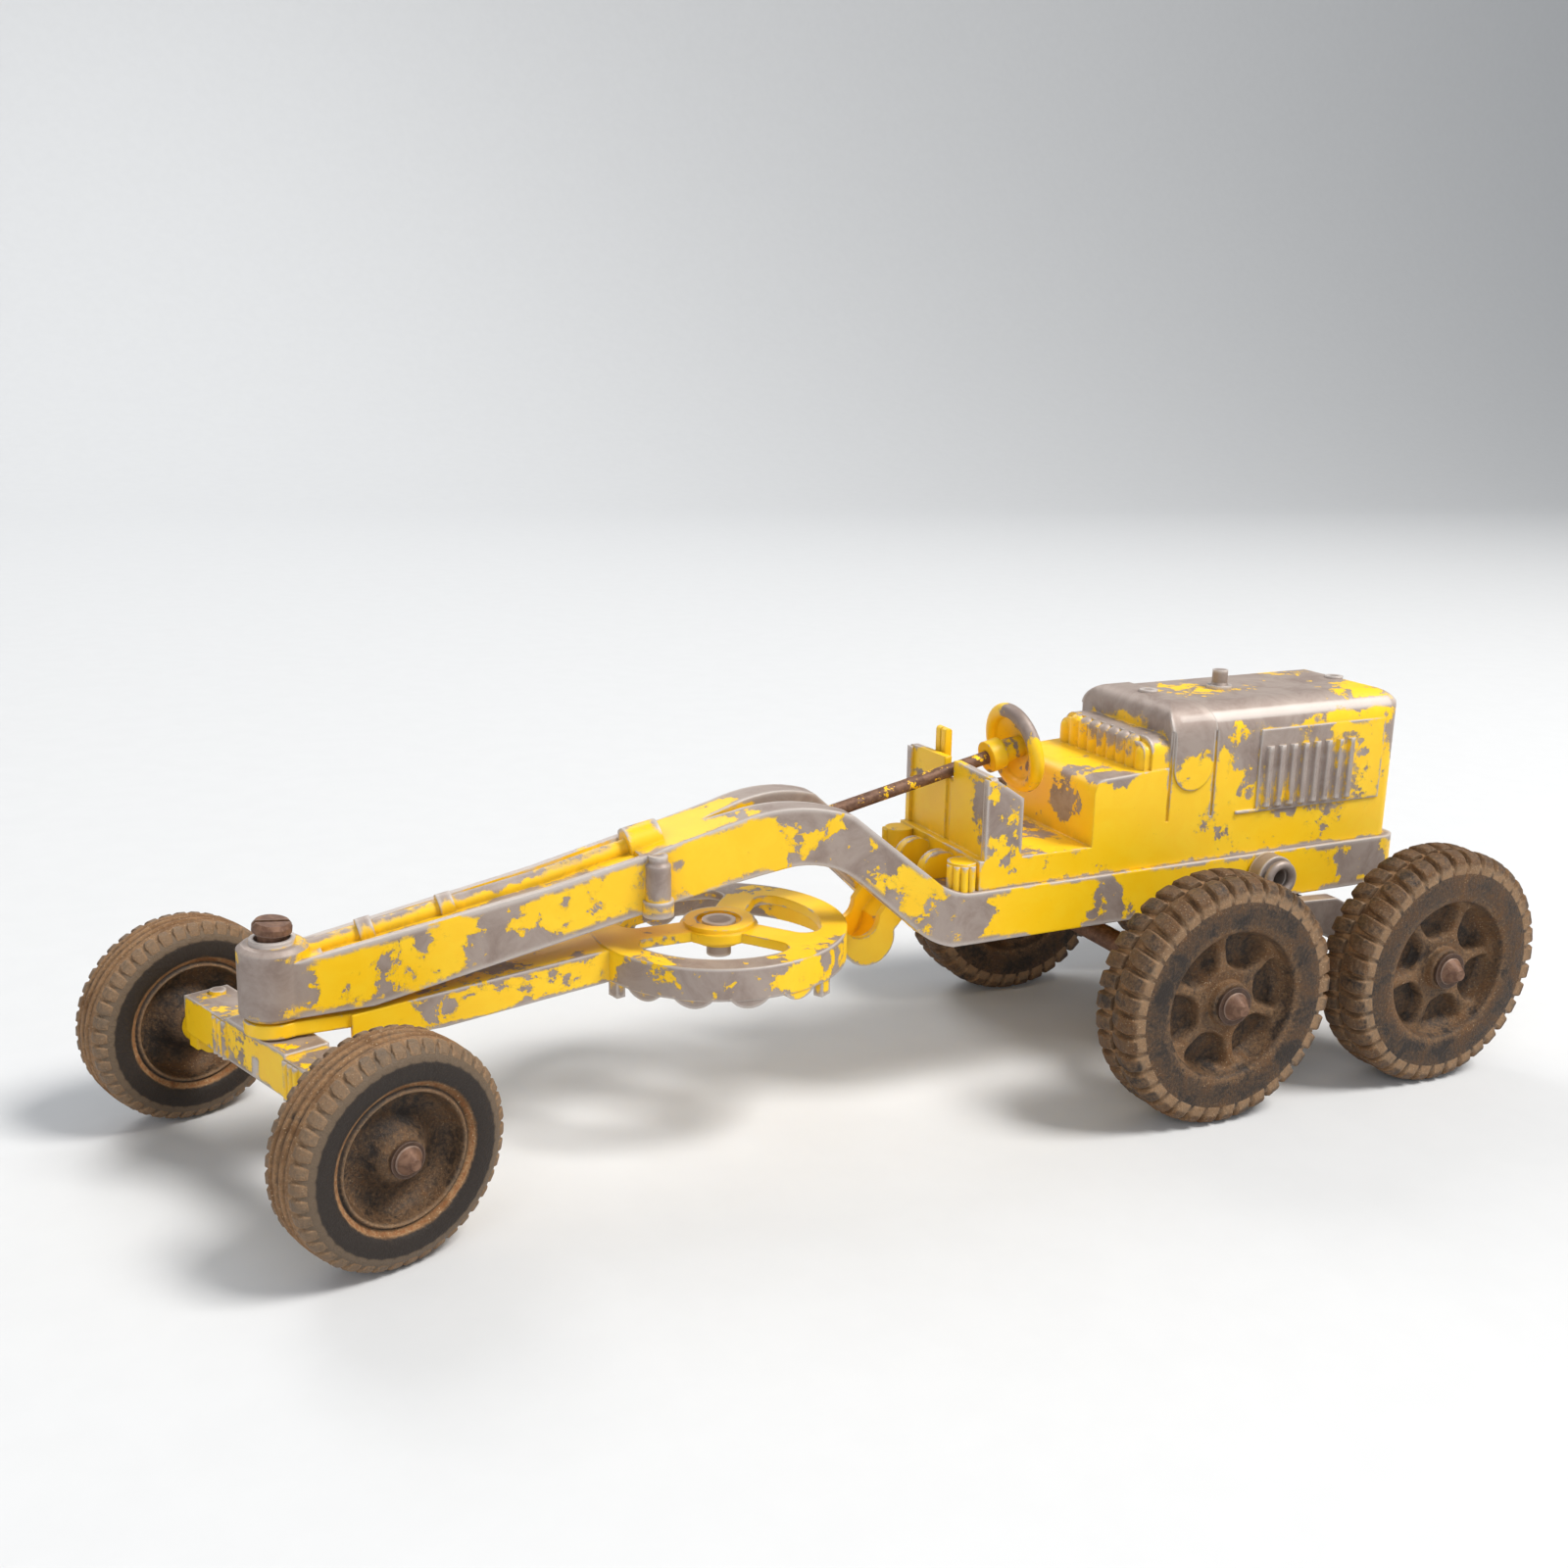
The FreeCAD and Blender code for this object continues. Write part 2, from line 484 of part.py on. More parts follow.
# ---- front axle ---------------------------------------------------------------------------
def front_axle_beam():
    """Channel-section beam with fluted faces and end lugs for the axle, along Y at x = 0."""
    z = FRONT_R
    beam = box(-BEAM_X, BEAM_X, -BEAM_Y, BEAM_Y, BEAM_BOTTOM, BEAM_TOP - 0.7)
    raised = box(-BEAM_X, BEAM_X, -10.6, 10.6, BEAM_BOTTOM, BEAM_TOP)
    lugs = []
    for side in (1, -1):
        y0, y1 = sorted((side * (BEAM_Y - 3.2), side * BEAM_Y))
        lugs.append(box(-3.6, 3.6, y0, y1, z - 2.2, BEAM_TOP - 1))
        lugs.append(cyl(3.6, (0, y0, z), (0, y1, z)))
        lugs.append(cyl(3.4, (0, side * BEAM_Y, z), (0, side * (FRONT_Y - 5.6), z)))
        lugs.append(cyl(1.5, (-1.0, side * 24.2, BEAM_TOP - 1), (-1.0, side * 24.2, BEAM_TOP)))
        for i in (-1, 0, 1):
            for x in (BEAM_X - 0.2, 0.2 - BEAM_X):
                y = side * 12.8 + i * 1.7
                lugs.append(cyl(0.85, (x, y, BEAM_BOTTOM), (x, y, BEAM_TOP - 0.9)))
    hollow = box(2.2 - BEAM_X, BEAM_X - 2.2, 3.2 - BEAM_Y, BEAM_Y - 3.2, 10, BEAM_TOP - 2.8)
    pillar = cyl(4.0, (0, 0, 24.0), (0, 0, BEAM_TOP - 1))
    beam = fuse([fuse([beam, raised] + lugs).cut(hollow), pillar])
    beam = beam.cut(cyl(PIN_R + RUN, (0, 0, 10), (0, 0, 40)))
    beam = beam.cut(cyl(3.6, (0, 0, 10), (0, 0, 24)))
    beam = beam.cut(cyl(FRONT_AXLE_R, (0, -40, z), (0, 40, z)))
    beam.translate(V(KINGPIN_X, 0, 0))
    return steer(beam)


def axle(x, z, r, half, tip):
    """Straight axle along Y with a coned, peened head at each end."""
    parts = [cyl(r, (x, -half, z), (x, half, z))]
    for side in (1, -1):
        parts.append(cone(r + 0.5, r * 0.45, (x, side * half, z), (x, side * (half + tip), z)))
    return fuse(parts)


def washer(x, z, y, side, r, hole):
    disc = cyl(r, (x, side * y, z), (x, side * (y + 0.6), z))
    return disc.cut(cyl(hole, (x, side * (y - 1), z), (x, side * (y + 2), z)))


def front_axle_rod():
    return steer(axle(KINGPIN_X, FRONT_R, FRONT_AXLE_R, FRONT_Y + 5.9, 2.3))


def front_washers():
    pair = [washer(KINGPIN_X, FRONT_R, FRONT_Y + 5.25, side, 3.1, FRONT_AXLE_R) for side in (1, -1)]
    return steer(Part.makeCompound(pair))


# ---- wheels -------------------------------------------------------------------------------
def wheel(half_profile, x, y, z, bore):
    """Turned wheel from half of its section; the profile is (axial, radial) on one side."""
    face = outline(half_profile, lambda a, r: V(0, a, r))
    half = face.revolve(V(0, 0, 0), Y_AXIS, 360)
    whole = half.fuse(half.mirror(V(0, 0, 0), Y_AXIS)).removeSplitter()
    whole = whole.cut(cyl(bore, (0, -20, 0), (0, 20, 0)))
    whole.translate(V(x, y, z))
    return whole


def front_profile():
    h = FRONT_W / 2
    return [(0, 1.0), (4.9, 1.0), (4.9, 3.1), (2.6, 5.2), (1.9, 8.5), (2.8, 11.0), (5.3, 11.3),
            (5.7, 12.4), ((h, 14.5), (5.7, 16.4)), ((4.6, 18.8), (2.2, FRONT_R)), (0, FRONT_R)]


def rear_profile():
    h = REAR_W / 2
    return [(0, 1.0), (5.2, 1.0), (5.2, 4.0), (4.2, 5.4), (1.4, 5.9), (1.4, 13.2), (4.8, 13.8),
            (5.8, 14.6), ((h, 17.6), (h - 0.2, 20.8)), ((5.1, 24.0), (2.4, REAR_R)), (0, REAR_R)]


def front_wheel(side):
    return steer(wheel(front_profile(), KINGPIN_X, side * FRONT_Y, FRONT_R, FRONT_AXLE_R + RUN))


def rear_wheel(x, side):
    tyre = wheel(rear_profile(), 0, 0, 0, REAR_AXLE_R + RUN)
    spokes = []
    for i in range(6):
        bar = box(4.6, 13.6, -3.6, 3.6, -1.2, 1.2)
        bar.rotate(V(0, 0, 0), Y_AXIS, 60 * i)
        spokes.append(bar)
    whole = fuse([tyre] + spokes)
    whole.translate(V(x, side * REAR_Y, REAR_R))
    return whole


# ---- rear bogie -----------------------------------------------------------------------------
def bogie_plate():
    """One rocker cheek: a hub on the pivot and an arm down to each axle."""
    y0, y1, z = RAIL_Y + 0.5, 21.2, REAR_R
    web = prism_xz([(PIVOT_X - 28.4, 30.0), (PIVOT_X - 18.0, 35.2), (PIVOT_X - 4.6, 35.6),
                    (PIVOT_X - 4.6, PIVOT_Z), (PIVOT_X + 4.6, PIVOT_Z), (PIVOT_X + 4.6, 35.6),
                    (PIVOT_X + 18.0, 35.2), (PIVOT_X + 28.4, 30.0), (PIVOT_X + 28.4, z - 4.6),
                    (PIVOT_X + 13.0, 28.0), (PIVOT_X - 13.0, 28.0), (PIVOT_X - 28.4, z - 4.6)], y0, y1)
    parts = [web, cyl(4.6, (PIVOT_X, y0, PIVOT_Z), (PIVOT_X, y1, PIVOT_Z))]
    for x in TANDEM_X:
        parts.append(cyl(4.6, (x, y0, z), (x, REAR_Y - 5.2 - GAP, z)))
    return fuse(parts)


def bogie_frame():
    bridges = [box(x - 3, x + 3, -RAIL_Y - 1, RAIL_Y + 1, 28.0, 31.4)
               for x in (PIVOT_X - 10.0, PIVOT_X + 10.0)]
    frame = fuse(both_sides(bogie_plate()) + bridges)
    frame = frame.cut(cyl(3.0 + RUN, (PIVOT_X, -40, PIVOT_Z), (PIVOT_X, 40, PIVOT_Z)))
    for x in TANDEM_X:
        frame = frame.cut(cyl(REAR_AXLE_R, (x, -40, REAR_R), (x, 40, REAR_R)))
    return frame


def bogie_pivot_tube():
    """Tubular rivet through both rails and both rocker hubs, with rolled ends."""
    end = 21.7
    tube = cyl(3.0, (PIVOT_X, -end, PIVOT_Z), (PIVOT_X, end, PIVOT_Z))
    rolls = [Part.makeTorus(3.1, 0.95, V(PIVOT_X, side * (end + 0.75), PIVOT_Z), Y_AXIS) for side in (1, -1)]
    return fuse([tube] + rolls).cut(cyl(2.1, (PIVOT_X, -40, PIVOT_Z), (PIVOT_X, 40, PIVOT_Z)))


def rear_washers():
    return Part.makeCompound([washer(x, REAR_R, REAR_Y + 5.55, side, 3.9, REAR_AXLE_R)
                              for x in TANDEM_X for side in (1, -1)])


def rear_axle(x):
    return axle(x, REAR_R, REAR_AXLE_R, REAR_Y + 6.2, 2.8)


# ---- export -----------------------------------------------------------------------------------
def all_parts():
    front_x, back_x = TANDEM_X
    return {
        "main_frame": main_frame(), "upper_body": upper_body(), "body_rivets": body_rivets(),
        "exhaust_stub": exhaust_stub(), "steering_rod": steering_rod(),
        "steering_wheel": steering_wheel(), "drawbar_circle": drawbar_circle(),
        "blade_pivot_rivet": blade_pivot_rivet(), "tail_rivet": tail_rivet(),
        "kingpin_screw": kingpin_screw(), "kingpin_collar": kingpin_collar(),
        "front_axle_beam": front_axle_beam(), "front_axle_rod": front_axle_rod(),
        "front_washers": front_washers(),
        "front_wheel_left": front_wheel(1), "front_wheel_right": front_wheel(-1),
        "bogie_frame": bogie_frame(), "bogie_pivot_tube": bogie_pivot_tube(),
        "rear_axle_front": rear_axle(front_x), "rear_axle_back": rear_axle(back_x),
        "rear_washers": rear_washers(),
        "rear_wheel_front_left": rear_wheel(front_x, 1),
        "rear_wheel_front_right": rear_wheel(front_x, -1),
        "rear_wheel_back_left": rear_wheel(back_x, 1),
        "rear_wheel_back_right": rear_wheel(back_x, -1),
    }


os.makedirs("parts", exist_ok=True)
for name, shape in all_parts().items():
    shape.translate(V(CENTRE_SHIFT, 0, 0))
    print(name, "solids", len(shape.Solids), "valid", shape.isValid(), round(shape.Volume))
    shape.exportStep("parts/%s.step" % name)
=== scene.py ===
"""Worn die-cast toy road grader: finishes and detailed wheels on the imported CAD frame.

The file is laid out as a Blender add-on and is run as a script.  Lengths are in metres.
"""
import json
import math
import random

import bmesh
import bpy
from mathutils import Matrix, Vector

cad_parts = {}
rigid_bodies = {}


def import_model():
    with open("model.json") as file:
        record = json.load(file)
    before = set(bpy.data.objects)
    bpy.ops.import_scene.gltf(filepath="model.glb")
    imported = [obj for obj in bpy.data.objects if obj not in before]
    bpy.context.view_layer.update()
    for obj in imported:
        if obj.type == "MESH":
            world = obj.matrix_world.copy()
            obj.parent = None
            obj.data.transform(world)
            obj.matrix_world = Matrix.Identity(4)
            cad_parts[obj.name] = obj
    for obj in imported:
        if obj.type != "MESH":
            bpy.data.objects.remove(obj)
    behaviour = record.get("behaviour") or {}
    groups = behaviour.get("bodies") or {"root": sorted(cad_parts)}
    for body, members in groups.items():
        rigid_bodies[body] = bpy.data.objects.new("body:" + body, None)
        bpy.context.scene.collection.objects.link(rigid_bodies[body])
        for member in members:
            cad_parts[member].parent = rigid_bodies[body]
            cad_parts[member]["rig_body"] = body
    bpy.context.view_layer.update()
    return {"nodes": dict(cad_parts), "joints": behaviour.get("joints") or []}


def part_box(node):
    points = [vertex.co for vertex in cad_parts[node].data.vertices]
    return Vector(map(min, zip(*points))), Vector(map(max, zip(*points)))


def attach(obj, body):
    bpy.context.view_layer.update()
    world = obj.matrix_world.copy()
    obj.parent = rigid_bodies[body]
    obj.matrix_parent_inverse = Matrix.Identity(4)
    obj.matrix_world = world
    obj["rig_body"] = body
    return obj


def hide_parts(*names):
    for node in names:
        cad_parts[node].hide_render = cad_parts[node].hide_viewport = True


bl_info = {
    "name": "Toy road grader",
    "version": (1, 0, 0),
    "blender": (4, 5, 0),
    "location": "View3D > Sidebar > Grader",
    "description": "Worn castings, rusty pins and rubber wheels of a toy road grader",
    "category": "Object",
}

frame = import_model()

MM = 0.001
FULL_TURN = 2 * math.pi
PAINTED = ("main_frame", "upper_body", "drawbar_circle", "front_axle_beam", "steering_wheel")
BARE = ("bogie_frame", "bogie_pivot_tube", "body_rivets", "exhaust_stub", "blade_pivot_rivet",
        "tail_rivet")
ROD = ("steering_rod",)
RUSTY = ("kingpin_screw", "kingpin_collar", "front_axle_rod", "rear_axle_front", "rear_axle_back")
WASHERS = ("front_washers", "rear_washers")
FRONT_WHEELS = {"front_left": "front_wheel_left", "front_right": "front_wheel_right"}
REAR_WHEELS = {"rear_front_left": "rear_wheel_front_left",
               "rear_front_right": "rear_wheel_front_right",
               "rear_back_left": "rear_wheel_back_left",
               "rear_back_right": "rear_wheel_back_right"}

# Colours that stay fixed while the user's own are changed.
# The dark brown for the enamel's inside corners is painted shade, broken into patches like dirt.
FADED_ENAMEL, CORNER_SHADE_AND_DIRT, SPECK = (0.97, 0.62, 0.015), (0.20, 0.105, 0.015), (0.30, 0.15, 0.02)
CHIP_RIM, STAINED_ZINC, DULL_ZINC = (0.45, 0.24, 0.02), (0.27, 0.205, 0.175), (0.26, 0.205, 0.18)
# The near-black brown for the bare zinc's corners is painted shade.
ZINC_CORNER_SHADE, RUST_BLOOM, RUST_DARK = (0.07, 0.05, 0.035), (0.215, 0.115, 0.070), (0.055, 0.036, 0.028)
RUBBED_STEEL, DARK_SOIL, GRIT = (0.34, 0.25, 0.20), (0.170, 0.084, 0.034), (0.50, 0.36, 0.22)
# The near-black for the tyres' grooves and inside corners is painted shade.
# The pale brown for the tyres' outer edges is a painted highlight.
CRUST, RUBBER_EDGE_HIGHLIGHT, GROOVE_SHADE = (0.230, 0.085, 0.028), (0.34, 0.235, 0.145), (0.030, 0.018, 0.010)

# The paint is gone where the wear adds up to more than this.
PAINT_LETS_GO, PAINT_GONE = 0.775, 0.783

# Spots rubbed bare on the castings: place and reach in millimetres, then how much is lost.
FRAME_ZONES = (((112, 0, 37), 11, 0.15), ((6, 12, 62), 30, 0.12), ((6, -12, 62), 30, 0.12),
               ((-14, 18, 40), 12, 0.10), ((-50, 18, 38), 9, 0.14), ((44, 9, 52), 8, 0.20),
               ((-14, -18, 42), 16, 0.12), ((44, -9, 52), 8, 0.20), ((80, 0, 50), 26, 0.05),
               ((-118, 18, 42), 9, 0.08), ((60, 8, 44), 16, 0.05))
BODY_ZONES = (((-100, 0, 84), 38, 0.15), ((-98, 17, 63), 12, 0.12), ((-107, 17, 63), 12, 0.12),
              ((-98, -17, 63), 12, 0.12), ((-107, -17, 63), 12, 0.12), ((-86, 17, 66), 9, 0.06),
              ((-69, 13, 76), 12, 0.20), ((-69, -13, 76), 12, 0.20), ((-61, 0, 75), 14, 0.11),
              ((-25, 16, 60), 11, 0.17), ((-25, -16, 60), 11, 0.17), ((-47, 5, 59), 9, 0.15),
              ((-50, 16, 66), 7, 0.12), ((-56, 16, 62), 15, 0.06), ((-80, 16, 62), 18, 0.05),
              ((-122, 16, 66), 12, 0.05), ((-126, 0, 60), 22, 0.08), ((-127, 14, 70), 10, 0.14),
              ((-30, 16, 50), 9, 0.06))
CIRCLE_ZONES = (((36, 22, 34), 17, 0.15), ((14, 18, 34), 12, 0.12), ((22, -22, 34), 16, 0.12),
                ((80, 5, 32), 18, 0.05), ((48, 12, 34), 8, 0.10))
WHEEL_RIM_ZONES = (((-36, 6, 76), 9, 0.10), ((-38, -6, 64), 8, 0.06))


# ---- settings a user would change --------------------------------------------------------
class GraderPaint(bpy.types.PropertyGroup):
    paint: bpy.props.FloatVectorProperty(
        name="Paint", description="Colour of the enamel", subtype="COLOR", size=3,
        min=0, max=1, default=(0.96, 0.57, 0.005))
    metal: bpy.props.FloatVectorProperty(
        name="Bare metal", description="Colour of the oxidised zinc", subtype="COLOR", size=3,
        min=0, max=1, default=(0.38, 0.31, 0.27))
    worn_metal: bpy.props.FloatVectorProperty(
        name="Rubbed metal", description="Colour of the zinc on rubbed edges", subtype="COLOR",
        size=3, min=0, max=1, default=(0.60, 0.54, 0.50))
    rust: bpy.props.FloatVectorProperty(
        name="Rust", description="Colour of the rusty steel", subtype="COLOR", size=3,
        min=0, max=1, default=(0.125, 0.060, 0.035))
    edge: bpy.props.FloatProperty(
        name="Edge width", description="How far wear reaches in from an edge", unit="LENGTH",
        default=0.9 * MM, min=0.1 * MM, max=5 * MM)


class GraderWheels(bpy.types.PropertyGroup):
    rubber: bpy.props.FloatVectorProperty(
        name="Rubber", description="Colour of clean rubber", subtype="COLOR", size=3,
        min=0, max=1, default=(0.022, 0.015, 0.011))
    dust: bpy.props.FloatVectorProperty(
        name="Dust", description="Colour of the dried dust", subtype="COLOR", size=3,
        min=0, max=1, default=(0.360, 0.200, 0.093))
    rear_lugs: bpy.props.IntProperty(
        name="Rear lugs", description="Lugs in one row of a rear tyre", default=36, min=8, max=80)
    front_lugs: bpy.props.IntProperty(
        name="Front lugs", description="Lugs in one row of a front tyre", default=42, min=8, max=90)


class GraderStage(bpy.types.PropertyGroup):
    floor: bpy.props.FloatVectorProperty(
        name="Floor", description="Colour of the floor and backdrop", subtype="COLOR", size=3,
        min=0, max=1, default=(0.66, 0.67, 0.68))
    key: bpy.props.FloatProperty(
        name="Key lamp", description="Power of the large soft lamp", unit="POWER",
        default=3.6, min=0, max=50)
    lens: bpy.props.FloatProperty(
        name="Lens", description="Focal length on a 36 mm wide sensor, in millimetres",
        default=36.87, min=10, max=200)


# ---- shader helpers ------------------------------------------------------------------------
class Net:
    """Small wrapper that adds nodes to a tree and links them by socket name."""

    def __init__(self, tree):
        self.tree = tree

    def add(self, kind, inputs=None, **props):
        node = self.tree.nodes.new(kind)
        for name, value in props.items():
            setattr(node, name, value)
        for name, value in (inputs or {}).items():
            self.feed(node.inputs[name], value)
        return node

    def feed(self, socket, value):
        if isinstance(value, bpy.types.NodeSocket):
            self.tree.links.new(value, socket)
        elif isinstance(value, (tuple, list)) and socket.type == "RGBA":
            socket.default_value = (*value, 1.0)[:4]
        else:
            socket.default_value = value

    def math(self, operation, a, b=0.0, clamp=False):
        node = self.add("ShaderNodeMath", {0: a, 1: b}, operation=operation, use_clamp=clamp)
        return node.outputs[0]

    def mix(self, factor, a, b):
        node = self.tree.nodes.new("ShaderNodeMix")
        node.data_type = "RGBA"
        for index, value in ((0, factor), (6, a), (7, b)):
            self.feed(node.inputs[index], value)
        return node.outputs[2]

    def band(self, value, low, high):
        node = self.add("ShaderNodeMapRange", {"Value": value, "From Min": low, "From Max": high},
                        interpolation_type="SMOOTHSTEP")
        return node.outputs["Result"]

    def noise(self, vector, scale, detail=4.0, roughness=0.6, distortion=0.0):
        node = self.add("ShaderNodeTexNoise", {"Vector": vector, "Scale": scale, "Detail": detail,
                                               "Roughness": roughness, "Distortion": distortion})
        return node.outputs["Fac"]


def new_group(name, inputs, outputs):
    """Shader node group with its sockets; returns the net, its input and its output node."""
    tree = bpy.data.node_groups.new(name, "ShaderNodeTree")
    for label, kind, default in inputs:
        socket = tree.interface.new_socket(label, in_out="INPUT", socket_type=kind)
        if default is not None:
            socket.default_value = default
    for label, kind in outputs:
        tree.interface.new_socket(label, in_out="OUTPUT", socket_type=kind)
    return Net(tree), tree.nodes.new("NodeGroupInput"), tree.nodes.new("NodeGroupOutput")


def edge_wear_group():
    """Masks for outer edges, which rub bare, and for inside corners, which keep their paint; the
    tyres also get a painted highlight on their edges, and the enamel, zinc and rubber get painted
    shade in their corners.
    """
    net, start, end = new_group(
        "EdgeWear", [("Reach", "NodeSocketFloat", 0.001)],
        [("Edge", "NodeSocketFloat"), ("Corner", "NodeSocketFloat"), ("Up", "NodeSocketFloat")])
    reach = start.outputs["Reach"]
    inner = net.add("ShaderNodeAmbientOcclusion", {"Distance": reach}, inside=True,
                    only_local=True, samples=8)
    deep = net.math("MULTIPLY", reach, 2.4)
    outer = net.add("ShaderNodeAmbientOcclusion", {"Distance": deep}, only_local=True, samples=8)
    net.feed(end.inputs["Edge"], net.math("SUBTRACT", 1.0, inner.outputs["AO"], clamp=True))
    net.feed(end.inputs["Corner"], net.math("SUBTRACT", 1.0, outer.outputs["AO"], clamp=True))
    place = net.add("ShaderNodeTexCoord")
    parts = net.add("ShaderNodeSeparateXYZ", {"Vector": place.outputs["Normal"]})
    net.feed(end.inputs["Up"], net.band(parts.outputs["Z"], 0.35, 0.9))
    return net.tree


def chips_group():
    """Ragged patches where paint has flaked off, from large losses to small nicks."""
    net, start, end = new_group(
        "PaintChips",
        [("Place", "NodeSocketVector", None), ("Wear", "NodeSocketFloat", 0.0),
         ("Size", "NodeSocketFloat", 70.0)],
        [("Bare", "NodeSocketFloat"), ("Rim", "NodeSocketFloat")])
    place, size = start.outputs["Place"], start.outputs["Size"]
    patches = net.noise(place, size, 9.0, 0.70, 0.35)
    nicks = net.noise(place, net.math("MULTIPLY", size, 4.0), 4.0, 0.60, 0.2)
    broad = net.noise(place, net.math("MULTIPLY", size, 0.36), 2.0, 0.5)
    total = net.math("ADD", net.math("MULTIPLY", patches, 0.62), net.math("MULTIPLY", broad, 0.42))
    total = net.math("ADD", total, net.math("MULTIPLY", nicks, 0.26))
    total = net.math("ADD", total, start.outputs["Wear"])
    net.feed(end.inputs["Bare"], net.band(total, PAINT_LETS_GO, PAINT_GONE))
    rim = net.math("SUBTRACT", net.band(total, 0.750, 0.775), net.band(total, 0.779, 0.80))
    net.feed(end.inputs["Rim"], rim)
    return net.tree


def casting_grain_group():
    """Height and tint of a slightly rough, stained casting."""
    net, start, end = new_group("CastGrain", [("Place", "NodeSocketVector", None)],
                                [("Height", "NodeSocketFloat"), ("Stain", "NodeSocketFloat")])
    place = start.outputs["Place"]
    fine, broad = net.noise(place, 2600.0, 3.0), net.noise(place, 420.0, 4.0)
    height = net.math("ADD", net.math("MULTIPLY", fine, 0.35), net.math("MULTIPLY", broad, 0.65))
    net.feed(end.inputs["Height"], height)
    net.feed(end.inputs["Stain"], net.noise(place, 130.0, 6.0, 0.68, 0.6))
    return net.tree


def place_group(net, tree, **inputs):
    node = net.tree.nodes.new("ShaderNodeGroup")
    node.node_tree = tree
    for name, value in inputs.items():
        net.feed(node.inputs[name], value)
    return node


def new_material(name):
    material = bpy.data.materials.new(name)
    material.use_nodes = True
    net = Net(material.node_tree)
    net.tree.nodes.clear()
    shader = net.add("ShaderNodeBsdfPrincipled")
    output = net.add("ShaderNodeOutputMaterial")
    net.tree.links.new(shader.outputs["BSDF"], output.inputs["Surface"])
    place = net.add("ShaderNodeTexCoord").outputs["Object"]
    return material, net, shader, place


def bumped(net, shader, height, distance, strength=0.6, soften=0.35 * MM):
    """Rounds hard edges in the shading and adds the surface's own relief."""
    soft = net.add("ShaderNodeBevel", {"Radius": soften}, samples=6)
    bump = net.add("ShaderNodeBump", {"Height": height, "Distance": distance,
                                      "Strength": strength, "Normal": soft.outputs["Normal"]})
    net.feed(shader.inputs["Normal"], bump.outputs["Normal"])


def rubbed_zone(net, place, centre, radius, gain):
    """Extra wear round a point, fading out at a radius."""
    away = net.add("ShaderNodeVectorMath", {0: place, 1: [c * MM for c in centre]},
                   operation="DISTANCE").outputs["Value"]
    near = net.band(away, radius * MM, 0.35 * radius * MM)
    return net.math("MULTIPLY", near, gain)


def worn_paint(name, groups, paint, wear, size, shift, edge_gain, top_gain, zones=(), reach=1.0):
    """Chipped enamel over bare zinc."""
    material, net, shader, place = new_material(name)
    moved = net.add("ShaderNodeMapping", {"Vector": place, "Location": shift}).outputs[0]
    edges = place_group(net, groups["edges"], Reach=reach * paint.edge)
    grain = place_group(net, groups["grain"], Place=moved)
    patchy = net.band(net.noise(moved, 62.0, 3.0), 0.36, 0.60)
    amount = net.math("MULTIPLY", net.math("MULTIPLY", edges.outputs["Edge"], edge_gain), patchy)
    amount = net.math("ADD", amount, net.math("MULTIPLY", edges.outputs["Up"], top_gain))
    for centre, radius, gain in zones:
        amount = net.math("ADD", amount, rubbed_zone(net, place, centre, radius, gain))
    kept = net.math("MULTIPLY", edges.outputs["Corner"], 0.22)
    amount = net.math("SUBTRACT", net.math("ADD", amount, wear), kept)
    chips = place_group(net, groups["chips"], Place=moved, Wear=amount, Size=size)
    stain = grain.outputs["Stain"]
    enamel = net.mix(net.band(stain, 0.35, 0.75), tuple(paint.paint), FADED_ENAMEL)
    # Inside corners of the enamel darkened to brown where the stain noise allows: partly painted
    # shade, partly dirt.
    shade_and_dirt = net.math("MULTIPLY", edges.outputs["Corner"], net.band(stain, 0.30, 0.62))
    enamel = net.mix(net.math("MULTIPLY", shade_and_dirt, 0.75), enamel, CORNER_SHADE_AND_DIRT)
    specks = net.band(net.noise(moved, 900.0, 5.0, 0.7), 0.66, 0.72)
    enamel = net.mix(net.math("MULTIPLY", specks, 0.30), enamel, SPECK)
    enamel = net.mix(net.math("MULTIPLY", chips.outputs["Rim"], 0.28), enamel, CHIP_RIM)
    dull = net.mix(net.band(stain, 0.38, 0.72), tuple(paint.metal), STAINED_ZINC)
    rubbed = net.band(edges.outputs["Edge"], 0.16, 0.42)
    zinc = net.mix(net.math("MULTIPLY", rubbed, 0.85), dull, tuple(paint.worn_metal))
    bare = chips.outputs["Bare"]
    net.feed(shader.inputs["Base Color"], net.mix(bare, enamel, zinc))
    net.feed(shader.inputs["Metallic"], net.math("MULTIPLY", bare, 0.25))
    gloss = net.math("ADD", 0.36, net.math("MULTIPLY", stain, 0.16))
    rough = net.math("ADD", gloss, net.math("MULTIPLY", bare, 0.10))
    net.feed(shader.inputs["Roughness"], rough)
    height = net.math("SUBTRACT", net.math("MULTIPLY", grain.outputs["Height"], 0.5), bare)
    bumped(net, shader, height, 0.10 * MM, soften=0.6 * MM)
    return material


def bare_zinc(name, groups, paint):
    """Oxidised casting that was never painted, with its corners darkened as painted shade."""
    material, net, shader, place = new_material(name)
    edges = place_group(net, groups["edges"], Reach=paint.edge)
    grain = place_group(net, groups["grain"], Place=place)
    stain = grain.outputs["Stain"]
    base = net.mix(net.band(stain, 0.35, 0.68), tuple(paint.metal), DULL_ZINC)
    base = net.mix(net.band(edges.outputs["Edge"], 0.12, 0.4), base, tuple(paint.worn_metal))
    # Corners of the zinc darkened almost to black-brown: painted shade.
    base = net.mix(net.math("MULTIPLY", edges.outputs["Corner"], 0.8), base, ZINC_CORNER_SHADE)
    net.feed(shader.inputs["Base Color"], base)
    shader.inputs["Metallic"].default_value = 0.4
    net.feed(shader.inputs["Roughness"], net.math("ADD", 0.42, net.math("MULTIPLY", stain, 0.2)))
    bumped(net, shader, grain.outputs["Height"], 0.08 * MM)
    return material


